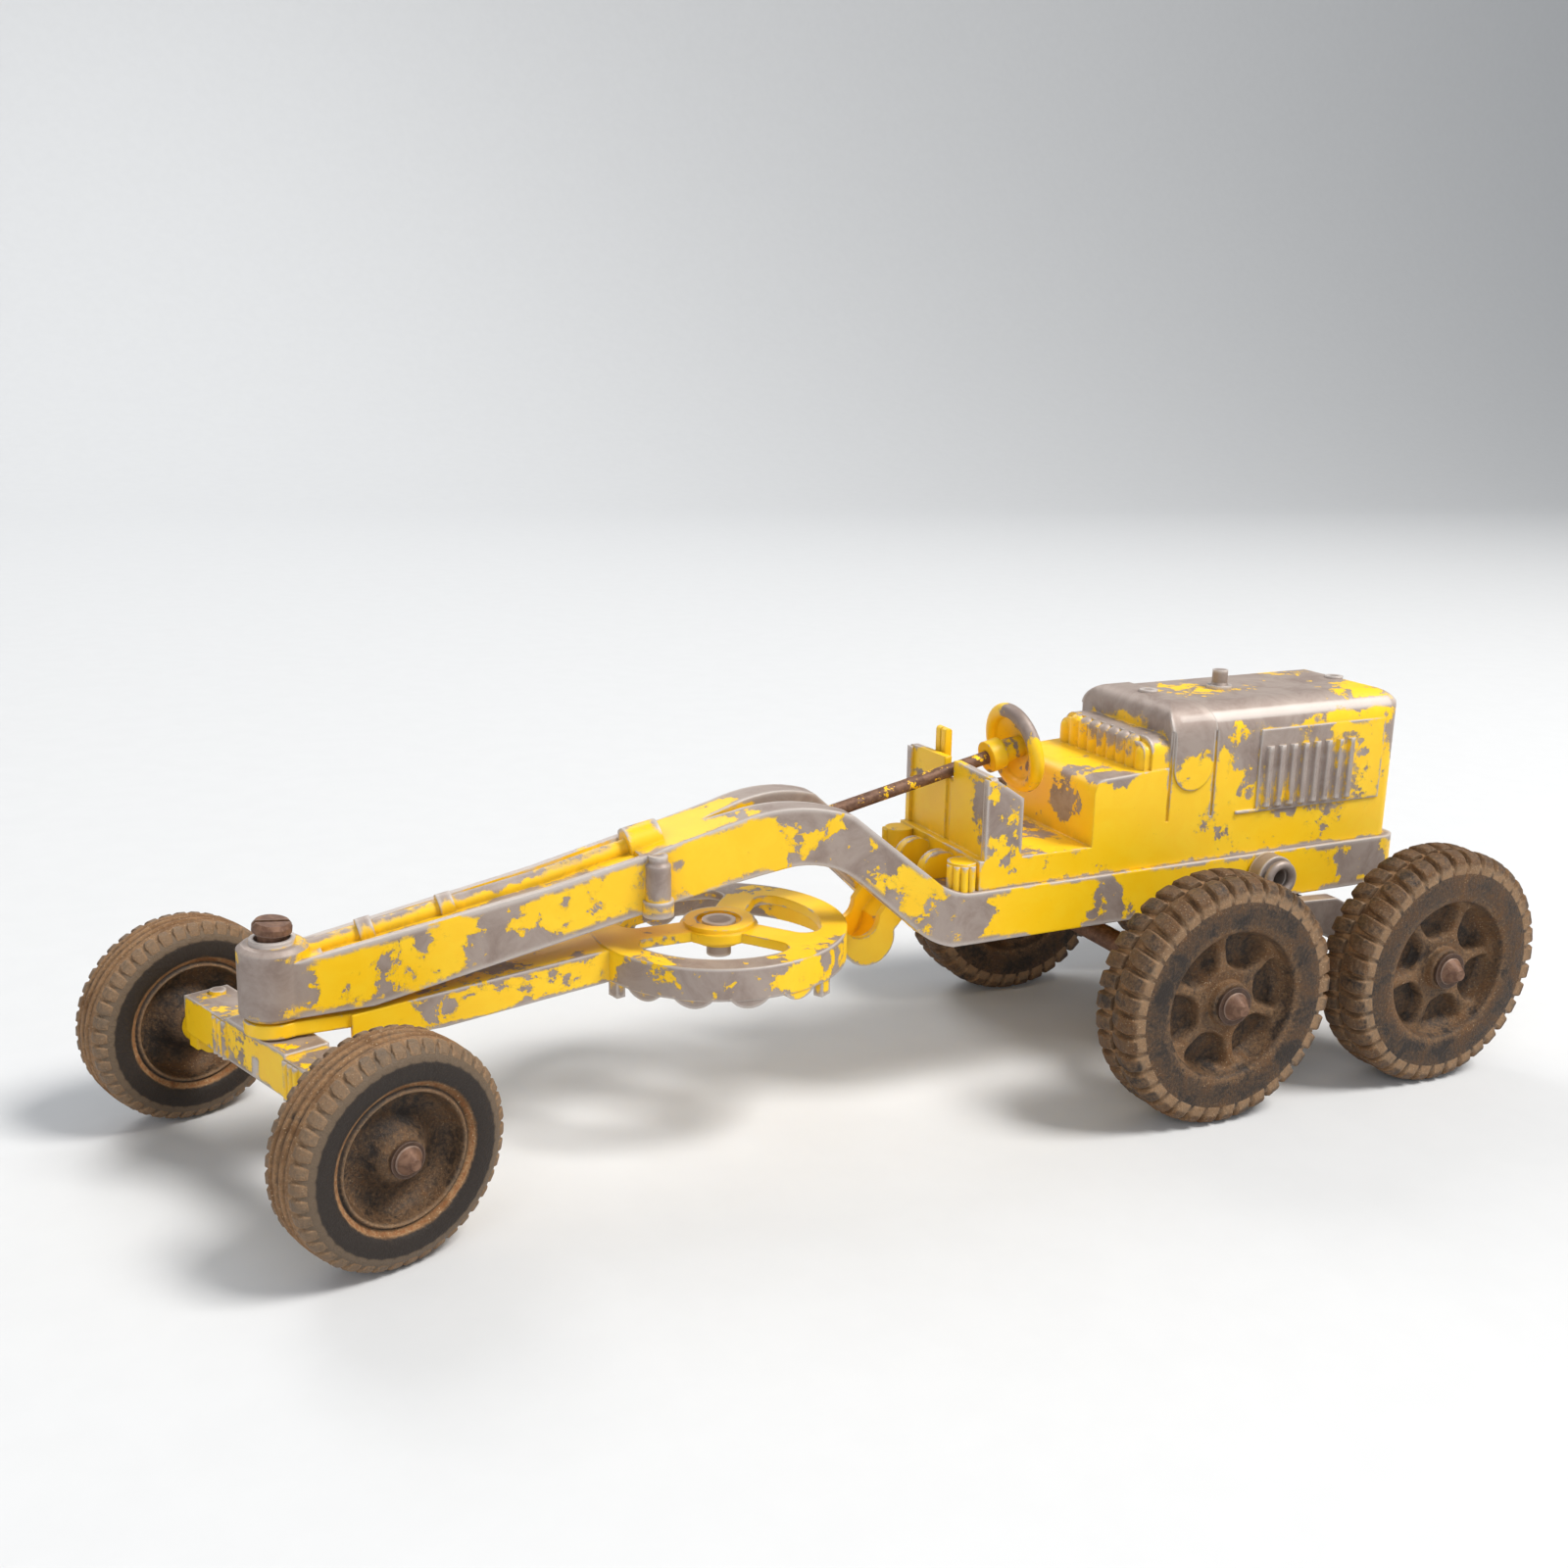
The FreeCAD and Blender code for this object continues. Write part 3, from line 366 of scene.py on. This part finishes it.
def rusty_steel(name, groups, paint, enamel_left=False, tint=1.0):
    """Rust, with flakes of the body's paint on it where asked for."""
    material, net, shader, place = new_material(name)
    edges = place_group(net, groups["edges"], Reach=0.5 * MM)
    grain = place_group(net, groups["grain"], Place=place)
    bloom = net.noise(place, 650.0, 6.0, 0.7, 0.4)
    rust, bloomed = (tuple(tint * c for c in colour) for colour in (paint.rust, RUST_BLOOM))
    base = net.mix(net.band(bloom, 0.40, 0.62), rust, bloomed)
    base = net.mix(net.band(grain.outputs["Stain"], 0.55, 0.75), base, RUST_DARK)
    rubbed = net.math("MULTIPLY", net.band(edges.outputs["Edge"], 0.25, 0.5), 0.55 * tint)
    base = net.mix(rubbed, base, RUBBED_STEEL)
    if enamel_left:
        flakes = net.band(net.noise(place, 210.0, 6.0, 0.72), 0.575, 0.585)
        base = net.mix(flakes, base, tuple(paint.paint))
    net.feed(shader.inputs["Base Color"], base)
    shader.inputs["Metallic"].default_value = 0.3
    net.feed(shader.inputs["Roughness"], net.math("ADD", 0.45, net.math("MULTIPLY", bloom, 0.25)))
    bumped(net, shader, bloom, 0.12 * MM, soften=0.2 * MM)
    return material


def dusty_rubber(name, groups, wheels):
    """Old rubber; the dust attribute says how much dirt each spot of the tyre has caught."""
    material, net, shader, place = new_material(name)
    caught = net.add("ShaderNodeAttribute", attribute_name="dust").outputs["Fac"]
    edges = place_group(net, groups["edges"], Reach=0.8 * MM)
    patches, fine = net.noise(place, 150.0, 6.0, 0.68, 0.7), net.noise(place, 1500.0, 5.0, 0.7)
    grit = net.noise(place, 3200.0, 2.0, 0.6)
    amount = net.math("ADD", caught, net.math("MULTIPLY", net.math("SUBTRACT", patches, 0.5), 1.7))
    amount = net.math("ADD", amount, net.math("MULTIPLY", net.math("SUBTRACT", fine, 0.5), 0.9))
    dust = net.band(amount, 0.12, 1.05)
    soil = net.mix(net.band(patches, 0.42, 0.62), tuple(wheels.dust), DARK_SOIL)
    soil = net.mix(net.band(grit, 0.60, 0.72), soil, GRIT)
    base = net.mix(dust, tuple(wheels.rubber), soil)
    crusted = net.math("MULTIPLY", net.band(caught, 0.95, 1.15), net.band(fine, 0.40, 0.62))
    base = net.mix(net.math("MULTIPLY", crusted, 0.75), base, CRUST)
    # Outer edges of the tyre lightened to a pale brown: a painted highlight.
    rubbed = net.math("MULTIPLY", net.band(edges.outputs["Edge"], 0.2, 0.5), 0.35)
    base = net.mix(rubbed, base, RUBBER_EDGE_HIGHLIGHT)
    # Grooves and inside corners of the tyre darkened to near black: painted shade.
    groove_shading = net.math("MULTIPLY", net.band(edges.outputs["Corner"], 0.15, 0.7), 0.60)
    base = net.mix(groove_shading, base, GROOVE_SHADE)
    net.feed(shader.inputs["Base Color"], base)
    shader.inputs["Specular IOR Level"].default_value = 0.35
    net.feed(shader.inputs["Roughness"], net.math("ADD", 0.48, net.math("MULTIPLY", dust, 0.40)))
    height = net.math("ADD", net.math("MULTIPLY", fine, 0.7), net.math("MULTIPLY", patches, 0.9))
    height = net.math("ADD", height, net.math("MULTIPLY", grit, 0.35))
    bumped(net, shader, height, 0.38 * MM, 0.8, 0.25 * MM)
    return material


def shared_groups():
    names = {"edges": "EdgeWear", "chips": "PaintChips", "grain": "CastGrain"}
    makers = {"edges": edge_wear_group, "chips": chips_group, "grain": casting_grain_group}
    return {k: bpy.data.node_groups.get(names[k]) or makers[k]() for k in names}


def dress(nodes, material):
    for name in nodes:
        mesh = frame["nodes"][name].data
        mesh.materials.clear()
        mesh.materials.append(material)


# ---- wheels ----------------------------------------------------------------------------------
def turned(profile, steps, name, shaped=None):
    """Mesh of a closed profile of (axial, radial, dust) turned about the Y axis.

    Axial and radial are in millimetres.  Shaped may move a point along the axle and dust it
    again, from its place in the profile and its angle.
    """
    bm = bmesh.new()
    layer = bm.verts.layers.float.new("dust")
    rings = []
    for i in range(steps):
        angle = FULL_TURN * i / steps
        ring = []
        for axial, radial, dust in profile:
            if shaped:
                axial, dust = shaped(axial, radial, dust, angle)
            vert = bm.verts.new((radial * MM * math.sin(angle), axial * MM,
                                 radial * MM * math.cos(angle)))
            vert[layer] = dust
            ring.append(vert)
        rings.append(ring)
    count = len(profile)
    for i in range(steps):
        a, b = rings[i], rings[(i + 1) % steps]
        for j in range(count):
            k = (j + 1) % count
            bm.faces.new((a[j], a[k], b[k], b[j]))
    bmesh.ops.recalc_face_normals(bm, faces=bm.faces)
    for face in bm.faces:
        face.smooth = True
    mesh = bpy.data.meshes.new(name)
    bm.to_mesh(mesh)
    bm.free()
    return mesh


def mirrored(half):
    """Full closed section from the outer half, which runs from the bore to the tread."""
    return half + [(-a, r, d) for a, r, d in reversed(half)]


def softened(points, per_span=3):
    """Adds points along a Catmull-Rom curve through the corners of a profile."""
    result = []
    count = len(points)
    for i in range(count - 1):
        p0, p1 = points[max(i - 1, 0)], points[i]
        p2, p3 = points[i + 1], points[min(i + 2, count - 1)]
        for s in range(per_span):
            t = s / per_span
            spot = [0.5 * (2 * b + (c - a) * t + (2 * a - 5 * b + 4 * c - d) * t * t
                           + (3 * b - a - 3 * c + d) * t ** 3)
                    for a, b, c, d in zip(p0, p1, p2, p3)]
            result.append(tuple(spot))
    return result + [points[-1]]


def lug_mesh(path, widths, base, name, seed, slant):
    """One tread lug: a flat-topped block that follows (axial, radial) points over the shoulder."""
    rng = random.Random(seed)
    bm = bmesh.new()
    layer = bm.verts.layers.float.new("dust")
    rows = []
    for (axial, top), width in zip(path, widths):
        row = []
        half = width / 2
        section = [(-half - 0.3, None, 0.8), (-half, -0.22, 0.7), (-half + 0.25, 0.0, 0.5),
                   (half - 0.25, 0.0, 0.5), (half, -0.22, 0.7), (half + 0.3, None, 0.8)]
        for across, drop, dust in section:
            jitter = rng.uniform(-0.07, 0.07)
            radial = base(axial) if drop is None else top + drop + min(jitter, 0.0)
            vert = bm.verts.new(((across + jitter + slant * axial) * MM, axial * MM, radial * MM))
            vert[layer] = dust
            row.append(vert)
        rows.append(row)
    for a, b in zip(rows, rows[1:]):
        for j in range(len(a) - 1):
            bm.faces.new((a[j], a[j + 1], b[j + 1], b[j]))
        bm.faces.new((a[-1], a[0], b[0], b[-1]))
    bm.faces.new(list(reversed(rows[0])))
    bm.faces.new(rows[-1])
    bmesh.ops.recalc_face_normals(bm, faces=bm.faces)
    mesh = bpy.data.meshes.new(name)
    bm.to_mesh(mesh)
    bm.free()
    return mesh


def ring_of_copies_tree():
    """Geometry node tree that repeats its input evenly about the Y axis."""
    tree = bpy.data.node_groups.new("RingOfCopies", "GeometryNodeTree")
    face = tree.interface
    face.new_socket("Geometry", in_out="INPUT", socket_type="NodeSocketGeometry")
    face.new_socket("Copies", in_out="INPUT", socket_type="NodeSocketInt").default_value = 12
    face.new_socket("Phase", in_out="INPUT", socket_type="NodeSocketFloat")
    face.new_socket("Material", in_out="INPUT", socket_type="NodeSocketMaterial")
    face.new_socket("Geometry", in_out="OUTPUT", socket_type="NodeSocketGeometry")
    net = Net(tree)
    start, end = tree.nodes.new("NodeGroupInput"), tree.nodes.new("NodeGroupOutput")
    line = net.add("GeometryNodeMeshLine", {"Count": start.outputs["Copies"]}, mode="OFFSET")
    line.inputs["Offset"].default_value = (0, 0, 0)
    index = net.add("GeometryNodeInputIndex").outputs["Index"]
    share = net.math("DIVIDE", index, start.outputs["Copies"])
    turn = net.math("MULTIPLY", net.math("ADD", share, start.outputs["Phase"]), FULL_TURN)
    spin = net.add("ShaderNodeCombineXYZ", {"Y": turn})
    shape = net.add("GeometryNodeGeometryToInstance", {"Geometry": start.outputs["Geometry"]})
    copies = net.add("GeometryNodeInstanceOnPoints",
                     {"Points": line.outputs["Mesh"], "Instance": shape.outputs["Instances"],
                      "Rotation": spin.outputs["Vector"]})
    real = net.add("GeometryNodeRealizeInstances", {"Geometry": copies.outputs["Instances"]})
    dressed = net.add("GeometryNodeSetMaterial",
                      {"Geometry": real.outputs["Geometry"],
                       "Material": start.outputs["Material"]})
    net.feed(end.inputs["Geometry"], dressed.outputs["Geometry"])
    return tree


def repeated(mesh, copies, phase, material):
    """Plain mesh of copies of a mesh round the Y axis, made by the ring tree."""
    tree = bpy.data.node_groups.get("RingOfCopies") or ring_of_copies_tree()
    carrier = bpy.data.objects.new("carrier", mesh)
    bpy.context.scene.collection.objects.link(carrier)
    modifier = carrier.modifiers.new("ring", "NODES")
    modifier.node_group = tree
    ids = {item.name: item.identifier for item in tree.interface.items_tree
           if item.in_out == "INPUT"}
    modifier[ids["Copies"]] = copies
    modifier[ids["Phase"]] = phase
    modifier[ids["Material"]] = material
    graph = bpy.context.evaluated_depsgraph_get()
    made = bpy.data.meshes.new_from_object(carrier.evaluated_get(graph), depsgraph=graph)
    bpy.data.objects.remove(carrier)
    return made


def smooth_step(value, low, high):
    t = min(max((value - low) / (high - low), 0.0), 1.0)
    return t * t * (3 - 2 * t)


def six_spokes(axial, radial, dust, angle):
    """Raises six waisted spokes out of the rear wheel's dish, which leaves six rounded pockets."""
    if not 6.5 < radial < 14.6:
        return axial, dust
    turn = FULL_TURN / 6
    off = (angle + turn / 2) % turn - turn / 2
    waist = 0.6 + 1.9 * min(abs(radial - 10.4) / 3.9, 1.0) ** 4
    mask = 1.0 - smooth_step(radial * abs(math.sin(off)), waist, waist + 1.2)
    raised = abs(axial) + mask * max(0.0, 3.5 - abs(axial))
    # Spoke faces take more dust than the pockets between them, so they are lighter: partly dust,
    # partly painted light, with the pockets left darker as painted shade.
    return math.copysign(raised, axial), dust * (1 - mask) + 0.62 * mask


def flipped(mesh):
    """Mirror image across the wheel's middle plane, with its faces still pointing outwards."""
    twin = mesh.copy()
    twin.transform(Matrix.Scale(-1, 4, (0, 1, 0)))
    twin.flip_normals()
    return twin


def joined(meshes, name, material):
    """One mesh from several, keeping the dust attribute."""
    bm = bmesh.new()
    for mesh in meshes:
        bm.from_mesh(mesh)
    mesh = bpy.data.meshes.new(name)
    bm.to_mesh(mesh)
    bm.free()
    mesh.materials.clear()
    mesh.materials.append(material)
    for face in mesh.polygons:
        face.material_index = 0
    return mesh


def rear_base(axial):
    """Radius of the rear tyre's carcass under its lugs, in millimetres."""
    beyond = max(0.0, abs(axial) - 3.4)
    return 24.1 - 0.42 * beyond ** 2


def rear_wheel_mesh(material, lugs):
    hub = [(0.0, 2.5, 0.3), (4.9, 2.5, 0.3), (5.3, 2.9, 0.5), (5.35, 3.9, 0.5), (5.1, 4.45, 0.5),
           (3.8, 4.6, 0.7), (3.5, 4.9, 0.55), (3.5, 6.4, 0.5), (2.4, 6.9, 0.5)]
    dish = [(1.2, 7.5 + 0.55 * i, 0.36) for i in range(11)]
    wall = [(2.2, 13.9, 0.5), (4.0, 14.6, 0.5), (5.4, 15.0, 0.4), (5.85, 15.5, 0.55),
            (6.15, 17.0, 0.36), (6.2, 19.0, 0.32), (6.1, 20.8, 0.38), (5.9, 22.2, 0.5),
            (5.5, 22.9, 0.7)]
    crown = [(5.0, 23.3, 0.7), (4.2, 23.8, 0.85), (3.2, 24.1, 0.9), (1.2, 24.2, 0.9),
             (0.5, 23.9, 1.0), (0.0, 23.9, 1.0)]
    section = softened(hub + dish + wall + crown, 2)
    body = turned(mirrored(section)[:-1], 180, "rear_body", six_spokes)
    shoulder = [(0.5, 24.9), (1.6, 25.2), (3.0, 25.35), (4.2, 25.15), (5.1, 24.7), (5.75, 24.0),
                (6.05, 23.2)]
    widths = (2.3, 2.8, 3.0, 3.0, 2.9, 2.7, 2.3)
    lug = lug_mesh(shoulder, widths, rear_base, "rear_lug", 7, 0.12)
    outer = repeated(lug, lugs, 0.0, material)
    inner = repeated(flipped(lug), lugs, 0.5 / lugs, material)
    return joined([body, outer, inner], "rear_wheel", material)


def front_base(axial):
    """Radius of the front tyre's carcass under its lugs, in millimetres."""
    beyond = max(0.0, abs(axial) - 2.8)
    return 18.95 - 0.34 * beyond ** 2


def front_wheel_mesh(material, lugs):
    half = [(0.0, 2.1, 0.3), (4.7, 2.1, 0.3), (5.0, 2.5, 0.5), (4.9, 3.4, 0.5), (4.1, 4.2, 0.45),
            (2.7, 5.2, 0.32), (1.5, 6.6, 0.35), (1.2, 8.4, 0.40), (1.9, 10.0, 0.45),
            (3.6, 10.7, 0.45), (4.9, 10.9, 0.5), (5.3, 11.3, 0.6), (4.7, 11.8, 0.2),
            (4.9, 12.1, 1.25), (5.3, 12.6, 1.2), (5.8, 13.2, 0.05), (6.05, 14.8, -0.05),
            (6.0, 16.4, -0.05), (5.75, 17.3, 0.0)]
    crown = [(5.0, 18.2, 0.3), (3.9, 18.7, 0.7), (3.2, 19.2, 0.8), (2.3, 19.35, 0.8),
             (2.0, 19.0, 0.6), (1.7, 19.0, 0.6), (1.4, 19.4, 0.85), (0.6, 19.45, 0.85),
             (0.3, 19.1, 0.6), (0.0, 19.1, 0.6)]
    section = softened(half, 2) + crown
    body = turned(mirrored(section)[:-1], 120, "front_body")
    shoulder = [(3.1, 19.2), (3.9, 19.25), (4.6, 19.0), (5.2, 18.5), (5.65, 17.7)]
    lug = lug_mesh(shoulder, (1.8, 2.0, 2.0, 1.9, 1.5), front_base, "front_lug", 11, 0.10)
    outer = repeated(lug, lugs, 0.0, material)
    inner = repeated(flipped(lug), lugs, 0.5 / lugs, material)
    return joined([body, outer, inner], "front_wheel", material)


def wheel_place(node):
    """Middle of a CAD wheel and the direction of its axle, from its joint."""
    body = body_of(node)
    for joint in frame["joints"]:
        if joint["child"] == body:
            low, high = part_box(node)
            return (low + high) / 2, Vector(joint["axis"]).normalized()
    raise RuntimeError("no joint holds " + node)


def body_of(node):
    return frame["nodes"][node]["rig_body"]


def set_wheel(mesh, name, node, spin):
    """Places a copy of a wheel mesh on its axle, then rides it on its body."""
    centre, axis = wheel_place(node)
    turn = Vector((0, 1, 0)).rotation_difference(axis).to_matrix().to_4x4()
    roll = Matrix.Rotation(spin, 4, "Y")
    copy = mesh.copy()
    copy.transform(Matrix.Translation(centre) @ turn @ roll)
    piece = bpy.data.objects.new(name, copy)
    bpy.context.scene.collection.objects.link(piece)
    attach(piece, body_of(node))
    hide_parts(node)
    return piece


# ---- operators ---------------------------------------------------------------------------------
class GRADER_OT_castings(bpy.types.Operator):
    """Chipped yellow enamel on the zinc castings"""
    bl_idname = "grader.castings"
    bl_label = "Painted castings"

    def execute(self, context):
        paint, groups = context.scene.grader_paint, shared_groups()
        looks = {
            "main_frame": dict(wear=0.058, size=76.0, shift=(0.013, 0, 0), edge_gain=0.50,
                               top_gain=0.10, zones=FRAME_ZONES, reach=1.8),
            "upper_body": dict(wear=0.018, size=112.0, shift=(0.40, 0.1, 0), edge_gain=0.42,
                               top_gain=0.05, zones=BODY_ZONES, reach=1.4),
            "drawbar_circle": dict(wear=0.045, size=92.0, shift=(0.21, 0, 0.1), edge_gain=0.36,
                                   top_gain=0.0, zones=CIRCLE_ZONES),
            "front_axle_beam": dict(wear=0.055, size=110.0, shift=(0, 0.3, 0), edge_gain=0.45,
                                    top_gain=0.08),
            "steering_wheel": dict(wear=0.03, size=130.0, shift=(0.1, 0.2, 0), edge_gain=0.30,
                                   top_gain=0.0, zones=WHEEL_RIM_ZONES)}
        for node in PAINTED:
            dress((node,), worn_paint("Enamel_" + node, groups, paint, **looks[node]))
        return {"FINISHED"}


class GRADER_OT_metalwork(bpy.types.Operator):
    """Dull zinc on the bogie and rivets, rust on the pins and axles"""
    bl_idname = "grader.metalwork"
    bl_label = "Bare metal"

    def execute(self, context):
        paint, groups = context.scene.grader_paint, shared_groups()
        dress(BARE, bare_zinc("Zinc_bare", groups, paint))
        dress(RUSTY, rusty_steel("Steel_rusty", groups, paint))
        dress(WASHERS, rusty_steel("Steel_dark", groups, paint, tint=0.45))
        dress(ROD, rusty_steel("Steel_rod", groups, paint, enamel_left=True))
        return {"FINISHED"}


class GRADER_OT_front_wheels(bpy.types.Operator):
    """Ribbed front wheels with notched shoulders"""
    bl_idname = "grader.front_wheels"
    bl_label = "Front wheels"

    def execute(self, context):
        settings, groups = context.scene.grader_wheels, shared_groups()
        material = dusty_rubber("Rubber_front", groups, settings)
        mesh = front_wheel_mesh(material, settings.front_lugs)
        for i, (body, node) in enumerate(FRONT_WHEELS.items()):
            set_wheel(mesh, "tyre_" + body, node, 0.3 + i)
        return {"FINISHED"}


class GRADER_OT_rear_wheels(bpy.types.Operator):
    """Lugged rear wheels with six spokes in a deep dish"""
    bl_idname = "grader.rear_wheels"
    bl_label = "Rear wheels"

    def execute(self, context):
        settings, groups = context.scene.grader_wheels, shared_groups()
        material = dusty_rubber("Rubber_rear", groups, settings)
        mesh = rear_wheel_mesh(material, settings.rear_lugs)
        for i, (body, node) in enumerate(REAR_WHEELS.items()):
            set_wheel(mesh, "tyre_" + body, node, 0.2 + 1.3 * i)
        return {"FINISHED"}


CAMERA_AT = (0.14357, 0.27256, 0.14169)
CAMERA_AZIMUTH, CAMERA_ELEVATION, CAMERA_ROLL = 154.92, 14.27, 1.96   # degrees
SKY_COLOUR, SKY_STRENGTH = (0.93, 0.96, 1.0, 1.0), 0.40
# Each lamp's place, aim, size, power as a multiple of the user's setting, and colour.
LAMPS = {"key": ((-0.9, 0.75, 1.75), (0, 0, 0.03), 0.7, 12.5, (1.0, 0.97, 0.93)),
         "fill": ((1.6, 1.7, 1.1), (0, 0, 0.03), 1.4, 4.5, (0.95, 0.97, 1.0)),
         "rim": ((0.3, -1.6, 1.5), (0, 0, 0.05), 1.0, 4.0, (1.0, 1.0, 1.0))}


def camera_matrix():
    """Camera pose from its azimuth (0 looks along +Y), elevation and roll."""
    azimuth, elevation = math.radians(CAMERA_AZIMUTH), math.radians(CAMERA_ELEVATION)
    back = Vector((math.sin(azimuth) * math.cos(elevation),
                   -math.cos(azimuth) * math.cos(elevation), math.sin(elevation)))
    right = (-back).cross(Vector((0, 0, 1))).normalized()
    up = back.cross(right)
    c, s = math.cos(math.radians(CAMERA_ROLL)), math.sin(math.radians(CAMERA_ROLL))
    axes = Matrix((c * right + s * up, c * up - s * right, back)).transposed().to_4x4()
    return Matrix.Translation(CAMERA_AT) @ axes


def backdrop(colour):
    """Floor that sweeps up into a wall far behind the toy."""
    width, near, wall, bend, top = 6.0, -3.0, 2.2, 0.9, 3.2
    line = [(near, 0.0), (wall - bend, 0.0)]
    line += [(wall - bend + bend * math.sin(t), bend - bend * math.cos(t))
             for t in (math.pi / 2 * i / 24 for i in range(1, 25))]
    line.append((wall, top))
    verts = [(x, -y, z) for y, z in line for x in (-width, width)]
    faces = [(2 * i, 2 * i + 1, 2 * i + 3, 2 * i + 2) for i in range(len(line) - 1)]
    mesh = bpy.data.meshes.new("studio_floor")
    mesh.from_pydata(verts, [], faces)
    for face in mesh.polygons:
        face.use_smooth = True
    material, net, shader, place = new_material("Studio_floor")
    speckle = net.noise(place, 90.0, 3.0)
    shade = net.mix(net.band(speckle, 0.3, 0.7), colour, tuple(0.985 * c for c in colour))
    net.feed(shader.inputs["Base Color"], shade)
    shader.inputs["Roughness"].default_value = 0.85
    mesh.materials.append(material)
    floor = bpy.data.objects.new("studio_floor", mesh)
    bpy.context.scene.collection.objects.link(floor)


def lamp(name, at, aim, size, power, colour):
    data = bpy.data.lights.new(name, "AREA")
    data.size, data.energy, data.color = size, power, colour
    light = bpy.data.objects.new(name, data)
    light.location = at
    light.rotation_euler = (Vector(aim) - Vector(at)).to_track_quat("-Z", "Y").to_euler()
    bpy.context.scene.collection.objects.link(light)


class GRADER_OT_stage(bpy.types.Operator):
    """Pale floor, soft lamps and the camera"""
    bl_idname = "grader.stage"
    bl_label = "Studio"

    def execute(self, context):
        settings, scene = context.scene.grader_stage, context.scene
        backdrop(tuple(settings.floor))
        world = bpy.data.worlds.new("studio_world")
        world.use_nodes = True
        sky = world.node_tree.nodes["Background"]
        sky.inputs["Color"].default_value = SKY_COLOUR
        sky.inputs["Strength"].default_value = SKY_STRENGTH
        scene.world = world
        for name, (at, aim, size, share, colour) in LAMPS.items():
            lamp(name, at, aim, size, share * settings.key, colour)
        data = bpy.data.cameras.new("camera")
        data.sensor_width, data.lens = 36.0, settings.lens
        camera = bpy.data.objects.new("camera", data)
        camera.matrix_world = camera_matrix()
        scene.collection.objects.link(camera)
        scene.camera = camera
        scene.view_settings.view_transform = "Standard"
        return {"FINISHED"}


class GRADER_PT_panel(bpy.types.Panel):
    """Shows the grader's settings and buttons for its operators"""
    bl_idname = "GRADER_PT_panel"
    bl_label = "Toy road grader"
    bl_space_type = "VIEW_3D"
    bl_region_type = "UI"
    bl_category = "Grader"

    def draw(self, context):
        scene = context.scene
        for settings in (scene.grader_paint, scene.grader_wheels, scene.grader_stage):
            for name in settings.bl_rna.properties.keys():
                if name not in ("rna_type", "name"):
                    self.layout.prop(settings, name)
        for operator in OPERATORS:
            self.layout.operator(operator.bl_idname)


OPERATORS = (GRADER_OT_castings, GRADER_OT_metalwork, GRADER_OT_front_wheels,
             GRADER_OT_rear_wheels, GRADER_OT_stage)
CLASSES = (GraderPaint, GraderWheels, GraderStage) + OPERATORS + (GRADER_PT_panel,)


def register():
    for cls in CLASSES:
        bpy.utils.register_class(cls)
    bpy.types.Scene.grader_paint = bpy.props.PointerProperty(type=GraderPaint)
    bpy.types.Scene.grader_wheels = bpy.props.PointerProperty(type=GraderWheels)
    bpy.types.Scene.grader_stage = bpy.props.PointerProperty(type=GraderStage)


def unregister():
    del bpy.types.Scene.grader_stage
    del bpy.types.Scene.grader_wheels
    del bpy.types.Scene.grader_paint
    for cls in reversed(CLASSES):
        bpy.utils.unregister_class(cls)


def main():
    register()
    bpy.ops.grader.castings()
    bpy.ops.grader.metalwork()
    bpy.ops.grader.front_wheels()
    bpy.ops.grader.rear_wheels()
    bpy.ops.grader.stage()


if __name__ == "__main__":
    main()
